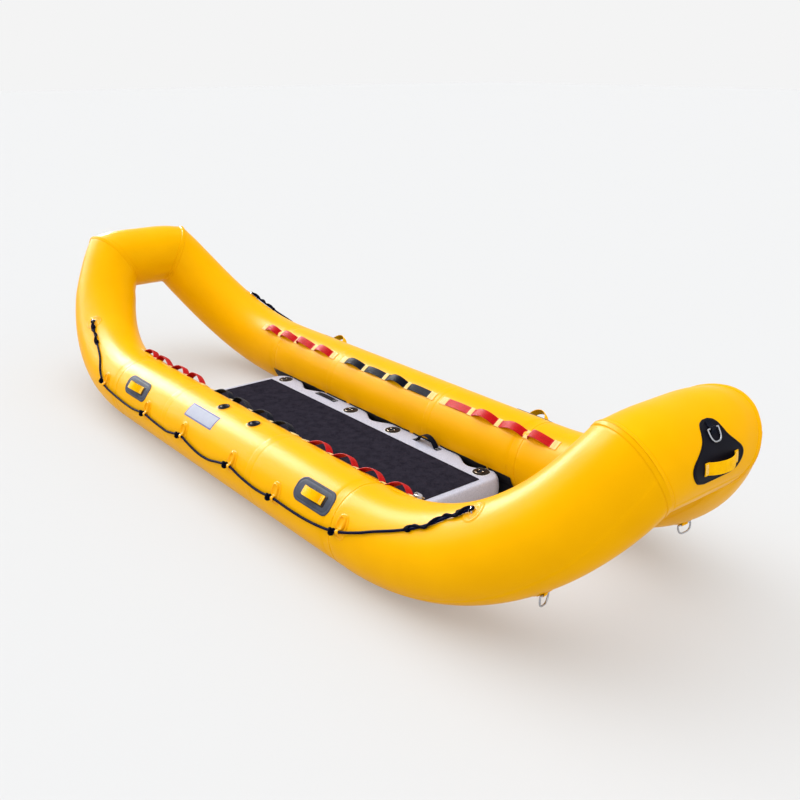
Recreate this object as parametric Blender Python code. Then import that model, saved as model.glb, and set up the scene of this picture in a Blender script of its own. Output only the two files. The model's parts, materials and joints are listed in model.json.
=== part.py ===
"""Towable inflatable boat with two banana-shaped side tubes, joined at both ends by a short cross tube.

Metres, +Z up, +X towards the bow and +Y to port. The boat stands on the undersides of its side tubes.
A place on a side tube is given by its station, the distance along the centre line from amidships,
and by its angle round the tube: 0 outboard, 90 on top, 180 inboard, -90 underneath.
"""

import math

import bmesh
import bpy
import numpy as np
from mathutils import Vector

# Clearances
seat_gap = 0.0003
hinge_gap = 0.0004
pocket_gap = 0.0005
overrun = 0.004

# Side tubes and cross tubes
tube_radius = 0.18
tube_offset = 0.5085
straight_half = 1.02
end_length = 1.226
end_angle = math.radians(64.5)
end_rise_power = 1.361
end_taper_power = 2.275
tip_offset = 0.2106
corner_blend = 0.3
corner_share = 0.93
tube_sides = 32
bend_segments = 11
curve_steps = 220
least_row_step = 0.5
cross_shares = (0, 0.2, 0.4, 0.6, 0.8, 1)
cross_blend_share = 0.35
sharp_angle = math.radians(32)

# Floor and deck
floor_thickness = 0.0012
floor_clearance = 0.003
floor_edge_angle = 196
floor_leave_angle = 217
floor_glue_steps = 3
floor_corner_radius = 0.02
floor_corner_steps = 3
deck_top = 0.125
deck_shift = 0.034
pad_half_length = 0.898
pad_half_width = 0.224
pad_thickness = 0.004
board_half_length = 0.945
board_side_gap = 0.0106
board_corner_radius = 0.08
board_edge_inset = 0.018
board_level_shares = ((0, 1), (0.08, 0.35), (0.25, 0), (0.66, 0), (0.86, 0.67), (1, 1))
corner_steps = 4
scallop_depth = 0.05
scallop_length = 0.27
scallop_place_shares = (-0.67, 0, 0.79)
scallop_step_shares = (-0.5, -0.32, -0.14, 0.14, 0.32, 0.5)

# Deck fittings
fitting_radius = 0.044
fitting_thickness = 0.0025
fitting_inset = 0.064
fitting_sides = 16
fitting_place_shares = (-0.891, -0.195, 0.195, 0.891)
deck_handle_length = 0.186
deck_handle_width = 0.032
deck_handle_thickness = 0.0025
deck_handle_foot = 0.026
deck_handle_rise = 0.046
deck_handle_inset = 0.049
deck_handle_steps = 6
deck_handle_place_shares = {"stern": -0.463, "bow": 0.463}
deck_handle_rise_shares = {"stern": 0, "bow": 1}

# Rings of stainless wire, and the webbing sleeves that they hinge in
deck_ring_wire = 0.002
deck_ring_width = 0.036
deck_ring_length = 0.03
tow_ring_wire = 0.003
tow_ring_width = 0.056
tow_ring_length = 0.044
under_ring_wire = 0.003
under_ring_width = 0.06
under_ring_length = 0.04
inner_ring_wire = 0.002
inner_ring_width = 0.032
inner_ring_length = 0.03
sleeve_wall = 0.002
sleeve_embed = 0.001
sleeve_share = 0.5
sleeve_sides = 8
wire_sides = 6
ring_bow_steps = 8
ring_bow_power = 0.7
ring_corner_share = 0.6

# Loop rows, four webbing loops on one glued base
loop_count = 4
loop_pitch = 0.185
loop_tab = 0.045
loop_width = 0.043
loop_rise = 0.032
loop_base_thickness = 0.003
loop_strap_thickness = 0.0025
loop_end = 0.03
loop_flat = 11
loop_steps = 6
arch_power = 0.62
loop_row_shift = 0.01
loop_row_gaps = {"stern": 0.06, "bow": 0.05}
loop_rise_shares = {"stern": (1, 1, 1, 1), "middle": (0.75, 0, 1, 0), "bow": (0, 1, 1, 1)}

# Lifelines, their patches and their end eyes
rope_radius = 0.0055
rope_samples = 54
rope_fine_steps = 1400
rope_bevel_steps = 2
rope_ends_at = 0.009
stop_length = 0.02
stop_slope = 0.002
stop_radius_share = 1.6
stop_distance = 0.03
# Each place is a share of straight_half, an angle in degrees and a share of the lift to the patch's lug.
rope_route_shares = (
    (-1.641, 55, 1),
    (-1.53, 52.5, 0.4),
    (-1.423, 50, 0),
    (-1.286, 41, 0),
    (-1.19, 23, 0.4),
    (-1.108, 11, 1),
    (-1.01, 6, 0.4),
    (-0.88, 2.5, 0),
    (-0.754, 1.6, 0),
    (-0.66, 5, 0.4),
    (-0.583, 7.5, 1),
    (-0.5, 4.5, 0.4),
    (-0.4, 2.4, 0),
    (-0.344, 2.2, 0),
    (-0.26, 7, 0.4),
    (-0.185, 10.3, 1),
    (-0.11, 5, 0.4),
    (-0.024, 0.4, 0),
    (0.074, 1, 0),
    (0.18, 8, 0.4),
    (0.273, 12.5, 1),
    (0.37, 7.5, 0.4),
    (0.46, 4.6, 0),
    (0.53, 4.6, 0.2),
    (0.638, 8.3, 1),
    (0.74, 7.4, 0.4),
    (0.82, 7.2, 0),
    (0.894, 8.4, 0),
    (0.99, 12, 0.4),
    (1.083, 18, 1),
    (1.19, 28, 0.3),
    (1.286, 37, 0),
    (1.496, 49.6, 0),
    (1.608, 58.6, 0.4),
    (1.713, 60.5, 1),
)
patch_route_points = (5, 10, 15, 20, 24, 29)
patch_length = 0.06
patch_round = 0.098
patch_rise_share = 0.3
patch_thickness = 0.003
patch_shares = (0, 0.12, 0.32, 0.68, 0.88, 1)
patch_width_shares = (0.5, 0.8, 1, 1, 0.8, 0.5)
lug_length = 0.014
lug_wall = 0.003
lug_clearance = 0.001
lug_sides = 10
eye_patch_radius = 0.05
eye_patch_cut_share = 0.06
eye_steps = 7
eye_radius = 0.014
eye_wire = 0.0025

# Grab handles
grab_patch_length = 0.225
grab_patch_round = 0.093
grab_patch_corner = 0.02
grab_corner_shares = (0, 0.33, 0.67)
grab_flat_shares = (-1, -0.33, 0.33, 1)
grab_strap_length = 0.16
grab_strap_width = 0.04
grab_foot = 0.024
grab_rise = 0.044
grab_thickness = 0.003
grab_steps = 8
grab_place_shares = {"stern": (-0.755, 37.5), "bow": (0.868, 40)}

# Valves and bare label panel
valve_radius = 0.03
valve_height = 0.004
valve_bevel = 0.001
valve_barrel_radius = 0.019
valve_barrel_depth = 0.03
valve_sides = 16
valve_angle = 86
valve_place_shares = {"stern": -0.063, "bow": 0.212}
cap_radius = 0.021
cap_recess = 0.003
cap_crown = 0.003
cap_flat_share = 0.67
grip_width = 0.005
grip_height = 0.004
label_length = 0.265
label_round = 0.076
label_thickness = 0.0008
label_place_share = -0.109
label_angle = 53
label_steps = 4

# Towing patch on the bow cross tube, angles up from straight ahead
tow_half_width = 0.137
tow_thickness = 0.003
tow_angle_top = 53
tow_angle_bottom = -12
tow_shares = (0, 0.03, 0.09, 0.2, 0.35, 0.5, 0.6, 0.69, 0.8, 0.9, 0.96, 1)
tow_width_shares = (0.1, 0.22, 0.32, 0.4, 0.52, 0.76, 0.93, 1, 0.97, 0.86, 0.74, 0.5)
tow_ring_angle = 41
tow_handle_angle = 4
tow_handle_length = 0.18
tow_handle_width = 0.05
tow_handle_foot = 0.02
tow_handle_rise = 0.028
tow_handle_thickness = 0.003
tow_handle_shift = 0.008

# Rings under the bow
under_segment = 7
under_tab_length = 0.055
under_tab_width = 0.036
under_tab_thickness = 0.003

SIDES = {"starboard": -1, "port": 1}
ENDS = {"stern": -1, "bow": 1}


def clear_scene():
    for found in list(bpy.data.objects):
        bpy.data.objects.remove(found, do_unlink=True)


def make_material(name, color, roughness, metallic=0.0):
    material = bpy.data.materials.new(name)
    material.use_nodes = True
    shader = material.node_tree.nodes["Principled BSDF"]
    shader.inputs["Base Color"].default_value = (*color, 1)
    shader.inputs["Roughness"].default_value = roughness
    shader.inputs["Metallic"].default_value = metallic
    material.diffuse_color = (*color, 1)
    return material


def add_mesh(name, points, faces, material):
    """A named object of these points and faces, with its faces turned outwards."""
    mesh = bpy.data.meshes.new(name)
    mesh.from_pydata([tuple(float(c) for c in point) for point in points], [], faces)
    shape = bmesh.new()
    shape.from_mesh(mesh)
    bmesh.ops.recalc_face_normals(shape, faces=shape.faces)
    shape.to_mesh(mesh)
    shape.free()
    mesh.shade_smooth()
    mesh.set_sharp_from_angle(angle=sharp_angle)
    mesh.materials.append(material)
    piece = bpy.data.objects.new(name, mesh)
    bpy.context.scene.collection.objects.link(piece)
    return piece


def loft(name, rings, material, closed=False):
    """Joins rings of as many points each. Both ends are capped, or the last ring is joined to the first."""
    count = len(rings[0])
    points = [point for ring in rings for point in ring]
    faces = []
    for i in range(len(rings) - (0 if closed else 1)):
        here = i * count
        there = (i + 1) % len(rings) * count
        for k in range(count):
            after = (k + 1) % count
            faces.append((here + k, here + after, there + after, there + k))
    if not closed:
        faces.append(tuple(range(count))[::-1])
        faces.append(tuple(range(len(points) - count, len(points))))
    return add_mesh(name, points, faces, material)


def helper(piece):
    piece.hide_render = True
    piece.display_type = "WIRE"
    return piece


def combine(piece, tool, operation):
    """Joins the tool to the piece, or cuts it out, and keeps the tool as a hidden helper."""
    modifier = piece.modifiers.new(tool.name, "BOOLEAN")
    modifier.operation = operation
    modifier.object = helper(tool)


def smoothstep(share):
    share = min(max(share, 0.0), 1.0)
    return share * share * (3 - 2 * share)


def unit(vector):
    return vector / np.linalg.norm(vector)


def square_to(axis):
    """A direction at right angles to this axis."""
    return unit(np.cross(axis, np.eye(3)[np.argmin(np.abs(axis))]))


def side_curve():
    """Stations from amidships to the bow tip, with the centre line's point at each."""
    share = np.linspace(0, 1, curve_steps + 1)
    step = end_length / curve_steps
    middle = (share[1:] + share[:-1]) / 2
    slope = end_angle * middle**end_rise_power
    x = straight_half + np.concatenate([[0], np.cumsum(np.cos(slope) * step)])
    z = tube_radius + np.concatenate([[0], np.cumsum(np.sin(slope) * step)])
    y = tube_offset - (tube_offset - tip_offset) * share**end_taper_power
    points = np.vstack([[0, tube_offset, tube_radius], np.stack([x, y, z], 1)])
    lengths = np.linalg.norm(np.diff(points, axis=0), axis=1)
    return np.concatenate([[0], np.cumsum(lengths)]), points


STATIONS, CENTRES = side_curve()
tip_station = float(STATIONS[-1])
tip_x = float(CENTRES[-1][0])
tip_z = float(CENTRES[-1][2])
bend_step = (tip_station - straight_half) / bend_segments
flat_angle = 360 / tube_sides
loop_angle = loop_flat * flat_angle
skin_sag = tube_radius / math.cos(math.pi / tube_sides) - tube_radius


def centre_at(side, station):
    point = np.array([np.interp(abs(station), STATIONS, CENTRES[:, i]) for i in range(3)])
    return point * (math.copysign(1, station), side, 1) + (middle_x, 0, 0)


def frame_at(side, station):
    """The tube's centre here, its direction towards the bow, and its outboard and upward directions."""
    index = min(np.searchsorted(STATIONS, abs(station), side="right"), len(STATIONS) - 1)
    along = unit(CENTRES[index] - CENTRES[index - 1])
    along = along * (1, side * math.copysign(1, station), math.copysign(1, station))
    across = np.array([0.0, side, 0.0])
    across = unit(across - across @ along * along)
    up = np.cross(across, along) * -side
    return centre_at(side, station), along, across, up


def skin_at(side, station, angle):
    """A point on the flats of the tube's ring here, and the direction out of it."""
    centre, _, across, up = frame_at(side, station)
    off_middle = math.radians((angle + flat_angle / 2) % flat_angle - flat_angle / 2)
    turn = math.radians(angle)
    outward = math.cos(turn) * across + math.sin(turn) * up
    return centre + tube_radius / math.cos(off_middle) * outward, outward


def on_side_tube(side):
    """The mapping from a station, an angle round the tube and a height over its flats to a point."""

    def place(station, angle, height):
        past = abs(station) - straight_half
        point, outward = skin_at(side, station, angle)
        if 0 < past < bend_segments * bend_step:
            low = straight_half + past // bend_step * bend_step
            share = (abs(station) - low) / bend_step
            way = math.copysign(1, station)
            before, _ = skin_at(side, way * low, angle)
            after, _ = skin_at(side, way * min(low + bend_step, tip_station), angle)
            point = before * (1 - share) + after * share
        return point + height * outward

    return place


def on_bow_tube(across, angle, height):
    """The mapping from a distance to port, an angle up from straight ahead and a height to a point."""
    turn = math.radians(angle)
    reach = tube_radius + height
    return np.array([middle_x + tip_x + reach * math.cos(turn), across, tip_z + reach * math.sin(turn)])


def degrees_of(arc):
    return math.degrees(arc / tube_radius)


def seat_height(step_angle):
    """How high the points of a glued piece with this step lie, so that its flats clear the tube's."""
    clear = (tube_radius + skin_sag) / math.cos(math.radians(step_angle) / 2) - tube_radius
    return clear + seat_gap


def ridge_dip(side, station, angle, length):
    """How deep a flat panel of this length would dip into the tube where its skin turns away."""
    before = frame_at(side, station - bend_step / 2)[1]
    after = frame_at(side, station + bend_step / 2)[1]
    outward = skin_at(side, station, angle)[1]
    return max((before - after) @ outward, 0) * length / 4


def tow_rows():
    """The towing patch's outline: at each angle, its two edges as distances to port."""
    span = tow_angle_bottom - tow_angle_top
    return [(tow_angle_top + span * share, -tow_half_width * width, tow_half_width * width)
            for share, width in zip(tow_shares, tow_width_shares)]


def widest_step(rows):
    return max(abs(there[0] - here[0]) for here, there in zip(rows, rows[1:]))


def tow_heights():
    """The towing patch's underside and top, and the underside of its handle's feet."""
    low = seat_height(widest_step(tow_rows()))
    top = low + tow_thickness
    spread = math.radians(degrees_of(tow_handle_width) / 2)
    return low, top, (tube_radius + top) / math.cos(spread / 2) - tube_radius + seat_gap


middle_x = -(tow_heights()[2] + tow_handle_rise + tow_handle_thickness) / 2


def ring_angles():
    """Angles of the tube's corners, with a flat straight below the centre line."""
    return [(k + 0.5) * 2 * math.pi / tube_sides for k in range(tube_sides)]


def mitre_ring(side, end):
    """The closed seam where a side tube meets the cross tube, and the seam plane's direction."""
    centre, along, across, up = frame_at(side, end * tip_station)
    along = along * end
    normal = unit(along + (0, -side, 0))
    corner_radius = tube_radius + skin_sag
    spokes = [corner_radius * (math.cos(a) * across + math.sin(a) * up) for a in ring_angles()]
    slides = [-(spoke @ normal) / (along @ normal) for spoke in spokes]
    longest = max(slides)
    ring = []
    for spoke, slide in zip(spokes, slides):
        pull = 1 - (1 - corner_share) * smoothstep(slide / longest)
        ring.append(centre + pull * (spoke + slide * along))
    return np.array(ring), normal


def tube_ring(side, station):
    centre, _, across, up = frame_at(side, station)
    corner_radius = tube_radius + skin_sag
    return np.array([centre + corner_radius * (math.cos(a) * across + math.sin(a) * up)
                     for a in ring_angles()])


def side_tube(name, side, material):
    bends = [straight_half + bend_step * i for i in range(bend_segments + 1)]
    stations = [-station for station in bends[::-1]] + [0.0] + bends
    rings = []
    for station in stations:
        end = 1 if station > 0 else -1
        ring = tube_ring(side, station)
        seam, normal = mitre_ring(side, end)
        weight = smoothstep(1 - (tip_station - abs(station)) / corner_blend)
        shift = seam - tube_ring(side, end * tip_station) - normal * seat_gap / 2
        rings.append(ring + weight * shift)
    return loft(name, rings, material)


def cross_tube(name, end, material):
    starboard, normal = mitre_ring(-1, end)
    starboard = starboard + normal * seat_gap / 2
    port = starboard * (1, -1, 1)
    centre = np.array([middle_x + end * tip_x, 0, tip_z])
    rings = []
    for share in cross_shares:
        ring = starboard * (1 - share) + port * share
        spokes = (ring - centre) * (1, 0, 1)
        reach = np.linalg.norm(spokes, axis=1)
        fullness = smoothstep(min(share, 1 - share) / cross_blend_share)
        growth = 1 + fullness * ((tube_radius + skin_sag) / reach - 1)
        rings.append(ring + spokes * (growth - 1)[:, None])
    return loft(name, rings, material)


def skin_patch(name, place, rows, low, thickness, material, columns=1):
    """A thin panel on a tube. Each row is an angle round the tube and the two ends of the panel there."""
    rings = []
    for angle, first, last in rows:
        line = np.linspace(first, last, columns + 1)
        ring = [place(along, angle, low) for along in line]
        ring += [place(along, angle, low + thickness) for along in line[::-1]]
        rings.append(ring)
    return loft(name, rings, material)


def bent_rows(rows):
    """The rows of a patch on a side tube, with a row more over each of the tube's corners."""
    angles = [row[0] for row in rows]
    corner = (math.floor(angles[0] / flat_angle + 0.5) + 0.5) * flat_angle
    places = set(angles)
    while corner < angles[-1]:
        places.add(corner)
        corner += flat_angle
    places = sorted(places)
    kept = [place for place, before in zip(places, [-360] + places)
            if place in angles or place - before > least_row_step]
    return [(place, np.interp(place, angles, [row[1] for row in rows]),
             np.interp(place, angles, [row[2] for row in rows])) for place in kept]


def arch_profile(length, foot, rise, steps):
    """Places along a strap with its height there: flat feet, and an arch between them."""
    half = length / 2
    profile = [(-half, 0.0)]
    for k in range(steps + 1):
        share = k / steps
        along = (half - foot) * (2 * share - 1)
        profile.append((along, rise * max(math.sin(math.pi * share), 0) ** arch_power))
    return profile + [(half, 0.0)]


def sleeve(name, middle, axis, wire, length, material):
    """A short tube of webbing round a ring's bar."""
    axis = unit(np.array(axis, float))
    side = square_to(axis)
    other = np.cross(axis, side)
    inner = (wire + hinge_gap) / math.cos(math.pi / sleeve_sides)
    loops = [(-1, inner + sleeve_wall), (1, inner + sleeve_wall), (1, inner), (-1, inner)]
    rings = []
    for end, radius in loops:
        ring = []
        for k in range(sleeve_sides):
            turn = 2 * math.pi * k / sleeve_sides
            spoke = radius * (math.cos(turn) * side + math.sin(turn) * other)
            ring.append(np.array(middle) + end * length / 2 * axis + spoke)
        rings.append(ring)
    return loft(name, rings, material, closed=True)


def sleeve_reach(wire):
    """The height of a ring's bar over what its sleeve is sewn to."""
    inner = (wire + hinge_gap) / math.cos(math.pi / sleeve_sides)
    return inner + sleeve_wall - sleeve_embed


def wire_ring(name, middle, bar_way, bow_way, width, length, wire, material):
    """A D-shaped ring of round wire. Its origin is on the bar's middle, which is its hinge axis."""
    bar_way = unit(np.array(bar_way, float))
    bow_way = unit(np.array(bow_way, float))
    face_way = np.cross(bar_way, bow_way)
    path = [(-width / 2, 0.0), (width / 2, 0.0)]
    for k in range(1, ring_bow_steps):
        turn = math.pi * k / ring_bow_steps
        across = math.copysign(abs(math.cos(turn)) ** ring_bow_power, math.cos(turn))
        path.append((across * width / 2, length * math.sin(turn) ** ring_bow_power))
    rings = []
    for k, here in enumerate(path):
        before = unit(np.subtract(here, path[k - 1]))
        after = unit(np.subtract(path[(k + 1) % len(path)], here))
        ahead = unit(before + after)
        outward = np.array([ahead[1], -ahead[0]]) / max(ahead @ before, ring_corner_share)
        ring = []
        for j in range(wire_sides):
            turn = 2 * math.pi * j / wire_sides
            flat = np.array(here) + wire * math.cos(turn) * outward
            ring.append(flat[0] * bar_way + flat[1] * bow_way + wire * math.sin(turn) * face_way)
        rings.append(ring)
    ring_piece = loft(name, rings, material, closed=True)
    ring_piece.location = Vector(middle)
    return ring_piece


def turned(name, middle, axis, profile, sides, material):
    """A closed solid turned round an axis. The profile is a list of radius and height, from axis to axis."""
    axis = unit(np.array(axis, float))
    side = square_to(axis)
    other = np.cross(axis, side)
    points = [axis * profile[0][1]]
    faces = []
    for radius, height in profile[1:-1]:
        for k in range(sides):
            turn = 2 * math.pi * k / sides
            points.append(axis * height + radius * (math.cos(turn) * side + math.sin(turn) * other))
    points.append(axis * profile[-1][1])
    rows = len(profile) - 2
    for k in range(sides):
        after = (k + 1) % sides
        faces.append((0, 1 + after, 1 + k))
        for row in range(rows - 1):
            here = 1 + row * sides
            there = here + sides
            faces.append((here + k, here + after, there + after, there + k))
        last = 1 + (rows - 1) * sides
        faces.append((last + k, last + after, len(points) - 1))
    piece = add_mesh(name, points, faces, material)
    piece.location = Vector(middle)
    return piece


floor_glue_step = (floor_leave_angle - floor_edge_angle) / floor_glue_steps
floor_half_width = tube_offset + (tube_radius + seat_height(floor_glue_step)) * math.cos(
    math.radians(floor_leave_angle))
board_half_width = floor_half_width - floor_thickness - board_side_gap


def floor_sheet(material):
    """A fabric trough, glued along the tubes' inner sides, that drops beside the board and runs under it."""
    low = tube_radius + seat_height(floor_glue_step)
    sections = []
    for k in range(floor_glue_steps + 1):
        turn = math.radians(floor_edge_angle + floor_glue_step * k)
        sections.append([(tube_offset + reach * math.cos(turn), tube_radius + reach * math.sin(turn))
                         for reach in (low, low + floor_thickness)])
    middle_y = floor_half_width - floor_corner_radius
    middle_z = floor_clearance + floor_corner_radius
    for k in range(floor_corner_steps + 1):
        turn = math.pi / 2 * k / floor_corner_steps
        sections.append([(middle_y + reach * math.cos(turn), middle_z - reach * math.sin(turn))
                         for reach in (floor_corner_radius, floor_corner_radius - floor_thickness)])
    sections += [[(-y, z) for y, z in section] for section in sections[::-1]]
    rings = []
    for under, over in sections:
        rings.append([(middle_x + end * straight_half, *spot)
                      for end, spot in ((-1, under), (1, under), (1, over), (-1, over))])
    return loft("floor_sheet", rings, material)


def scallop_at(x):
    """How far the board's long edge is drawn in at this distance from its middle."""
    depth = 0.0
    for share in scallop_place_shares:
        near = abs(x - share * board_half_length) / (scallop_length / 2)
        if near < 1:
            depth = max(depth, scallop_depth * (1 + math.cos(math.pi * near)) / 2)
    return depth


def board_outline(inset):
    """The board's outline from above, with rounded corners and drawn-in places on its long edges."""
    half_length = board_half_length - inset
    half_width = board_half_width - inset
    run = half_length - board_corner_radius
    places = {-run, run}
    for share in scallop_place_shares:
        middle = share * board_half_length
        places.update(middle + step * scallop_length for step in scallop_step_shares)
    places = sorted(x for x in places if abs(x) <= run)
    port = [(x, half_width - scallop_at(x)) for x in places[::-1]]
    stern = []
    for k in range(1, corner_steps):
        turn = math.pi / 2 + math.pi / 2 * k / corner_steps
        stern.append((-run + board_corner_radius * math.cos(turn),
                      half_width - board_corner_radius * (1 - math.sin(turn))))
    stern.append((-half_length, half_width - board_corner_radius))
    bow = [(-x, y) for x, y in stern[::-1]]
    upper = bow + port + stern
    return upper + [(x, -y) for x, y in upper[::-1]]


def board_heights():
    low = floor_clearance + floor_thickness + seat_gap
    return low, deck_top - pad_thickness - seat_gap


def deck_board(board_material, fitting_material):
    low, high = board_heights()
    rings = []
    for height_share, inset_share in board_level_shares:
        z = low + (high - low) * height_share
        outline = board_outline(board_edge_inset * inset_share)
        rings.append([(middle_x + deck_shift + x, y, z) for x, y in outline])
    board = loft("deck_board", rings, board_material)
    board.data.materials.append(fitting_material)
    for number, x, y, side in fitting_places():
        top = (x, y, high + fitting_thickness)
        profile = [(0, -overrun), (fitting_radius, -overrun), (fitting_radius, 0), (0, 0)]
        disc = turned(f"cutter_disc_{number}", top, (0, 0, 1), profile, fitting_sides, fitting_material)
        combine(board, disc, "UNION")
        bar = (x, y, high + fitting_thickness + sleeve_reach(deck_ring_wire))
        tab = sleeve(f"cutter_sleeve_{number}", bar, (1, 0, 0), deck_ring_wire,
                     deck_ring_width * sleeve_share, fitting_material)
        combine(board, tab, "UNION")
    return board


def fitting_places():
    number = 0
    for side in SIDES.values():
        for share in fitting_place_shares:
            number += 1
            x = middle_x + deck_shift + share * board_half_length
            yield number, x, side * (board_half_width - fitting_inset), side


def deck_rings(material):
    """Each ring lies on its disc, hinged on the disc's middle, with its bow towards the pad."""
    high = board_heights()[1] + fitting_thickness
    bar_height = sleeve_reach(deck_ring_wire)
    drop = bar_height - deck_ring_wire - seat_gap
    for number, x, y, side in fitting_places():
        bow_way = (0, -side * math.sqrt(deck_ring_length**2 - drop**2), -drop)
        wire_ring(f"deck_ring_{number}", (x, y, high + bar_height), (1, 0, 0), bow_way,
                  deck_ring_width, deck_ring_length, deck_ring_wire, material)


def deck_pad(material):
    x_low, x_high = (middle_x + deck_shift + end * pad_half_length for end in (-1, 1))
    rings = []
    for z in (deck_top - pad_thickness, deck_top):
        rings.append([(x_low, -pad_half_width, z), (x_high, -pad_half_width, z),
                      (x_high, pad_half_width, z), (x_low, pad_half_width, z)])
    return loft("deck_pad", rings, material)


def deck_handles(material):
    top = board_heights()[1] + seat_gap
    for side_name, side in SIDES.items():
        for end in ENDS:
            rise = deck_handle_rise * deck_handle_rise_shares[end]
            middle = middle_x + deck_shift + deck_handle_place_shares[end] * board_half_length
            y = side * (board_half_width - deck_handle_inset)
            rings = []
            for along, height in arch_profile(deck_handle_length, deck_handle_foot, rise, deck_handle_steps):
                low = top + height
                high = low + deck_handle_thickness
                rings.append([(middle + along, y - deck_handle_width / 2, low),
                              (middle + along, y + deck_handle_width / 2, low),
                              (middle + along, y + deck_handle_width / 2, high),
                              (middle + along, y - deck_handle_width / 2, high)])
            loft(f"deck_handle_{side_name}_{end}", rings, material)


def strap_edges(side, station, height):
    """The two edges of a strap that lies flat along a flat of the tube's inner shoulder."""
    _, _, across, up = frame_at(side, station)
    turn = math.radians(loop_angle)
    round_way = math.cos(turn) * up - math.sin(turn) * across
    middle = on_side_tube(side)(station, loop_angle, height)
    return [middle + edge * loop_width / 2 * round_way for edge in (-1, 1)]


def loop_row_middle(end):
    """The station of a row's middle. The stern and bow rows follow on from the middle row."""
    if end == "middle":
        return loop_row_shift
    return loop_row_shift + ENDS[end] * (loop_count * loop_pitch + 2 * loop_end + loop_row_gaps[end])


def loop_row(name, side, end, material):
    """A base strip with four webbing loops sewn to it. A loop with no rise lies flat on the base."""
    middle = loop_row_middle(end)
    half = loop_count * loop_pitch / 2
    points = []
    faces = []

    def add_section(station, rise):
        """Base underside, base top, strap underside and strap top, each as its two edges."""
        low = seat_gap
        base = low + loop_base_thickness
        heights = [low, base, base + rise, base + rise + loop_strap_thickness]
        if rise:
            layers = heights
        else:
            layers = [low, base, heights[3]]
        first = len(points)
        for height in layers:
            points.extend(strap_edges(side, station, height))
        rows = [(first + 2 * i, first + 2 * i + 1) for i in range(len(layers))]
        return rows if rise else [rows[0], rows[1], rows[1], rows[2]]

    sections = [(middle - half - loop_end, 0.0)]
    for number in range(loop_count):
        start = middle - half + number * loop_pitch + loop_tab / 2
        span = loop_pitch - loop_tab
        rise = loop_rise * loop_rise_shares[end][number]
        for k in range(loop_steps + 1):
            share = k / loop_steps
            lift = rise * max(math.sin(math.pi * share), 0) ** arch_power
            if rise or k in (0, loop_steps):
                sections.append((start + span * share, lift if 0 < k < loop_steps else 0.0))
    sections.append((middle + half + loop_end, 0.0))
    rows = [add_section(station, rise) for station, rise in sections]
    for (here_station, here_rise), (there_station, there_rise), here, there in zip(
            sections, sections[1:], rows, rows[1:]):
        faces.append((here[0][0], there[0][0], there[0][1], here[0][1]))
        faces.append((here[3][0], here[3][1], there[3][1], there[3][0]))
        for edge in (0, 1):
            faces.append((here[0][edge], here[1][edge], there[1][edge], there[0][edge]))
            strap_side = [here[2][edge], here[3][edge], there[3][edge], there[2][edge]]
            faces.append(tuple(dict.fromkeys(strap_side)))
        if here_rise or there_rise:
            faces.append((here[1][0], here[1][1], there[1][1], there[1][0]))
            faces.append((here[2][0], there[2][0], there[2][1], here[2][1]))
    for row in (rows[0], rows[-1]):
        faces.append((row[0][0], row[0][1], row[1][1], row[1][0]))
        faces.append((row[1][0], row[1][1], row[3][1], row[3][0]))
    return add_mesh(name, points, faces, material)


def inner_ring_place():
    """The bar's middle, its direction and the way in which its ring lies."""
    station = loop_row_middle("bow") + loop_count * loop_pitch / 2 + loop_end
    low = seat_gap + loop_base_thickness + loop_strap_thickness
    inward = sleeve_reach(inner_ring_wire)
    _, along, across, up = frame_at(-1, station - inward)
    turn = math.radians(loop_angle)
    bar_way = math.cos(turn) * up - math.sin(turn) * across
    return on_side_tube(-1)(station - inward, loop_angle, low + inward), bar_way, along


def loop_rows(red, black):
    for side_name, side in SIDES.items():
        for end in loop_rise_shares:
            row = loop_row(f"loops_{side_name}_{end}", side, end, black if end == "middle" else red)
            if side_name == "starboard" and end == "bow":
                middle, bar_way, _ = inner_ring_place()
                tab = sleeve("cutter_inner_sleeve", middle, bar_way, inner_ring_wire,
                             inner_ring_width * sleeve_share, red)
                combine(row, tab, "UNION")


def inner_ring(material):
    middle, bar_way, along = inner_ring_place()
    wire_ring("inner_ring", middle, bar_way, along, inner_ring_width, inner_ring_length, inner_ring_wire,
              material)


def rope_heights():
    """The rope's middle where it lies on the tube, and where it runs through a patch's lug."""
    resting = skin_sag + seat_gap + rope_radius
    lifted = skin_sag + seat_gap + patch_thickness + lug_clearance + rope_radius
    return resting, lifted


def rope_route():
    """The route's own points, as station, angle and height over the tube."""
    route = []
    resting, lifted = rope_heights()
    for share, angle, lift in rope_route_shares:
        station = share * straight_half
        route.append((station, angle, resting + (lifted - resting) * lift))
    return np.array(route)


def rope_point(route, place):
    """A point of the smooth curve through the route's points, by Catmull and Rom's rule."""
    index = min(int(place), len(route) - 2)
    share = place - index
    before = route[max(index - 1, 0)]
    here, there = route[index], route[index + 1]
    after = route[min(index + 2, len(route) - 1)]
    return (here + 0.5 * share * (there - before
            + share * (2 * before - 5 * here + 4 * there - after
                       + share * (3 * (here - there) + after - before))))


def rope_stations(route):
    """Places along the route for the rope's points, with the rope's radius as a share at each."""
    fine = np.linspace(0, len(route) - 1, rope_fine_steps)
    stations = np.array([rope_point(route, place)[0] for place in fine])
    first = route[0][0] + rope_ends_at
    last = route[-1][0] - rope_ends_at
    marks = [(station, 1.0) for station in np.linspace(first, last, rope_samples)]
    for index in patch_route_points:
        station = route[index][0]
        middle = station - stop_distance
        half = stop_length / 2
        marks = [mark for mark in marks if not middle - stop_length < mark[0] < station + 2 * lug_length]
        marks += [(middle - half - stop_slope, 1.0), (middle - half, stop_radius_share),
                  (middle + half, stop_radius_share), (middle + half + stop_slope, 1.0),
                  (station - lug_length / 2 - lug_clearance, 1.0),
                  (station + lug_length / 2 + lug_clearance, 1.0)]
    marks.sort()
    return [(np.interp(station, stations, fine), share) for station, share in marks]


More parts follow.
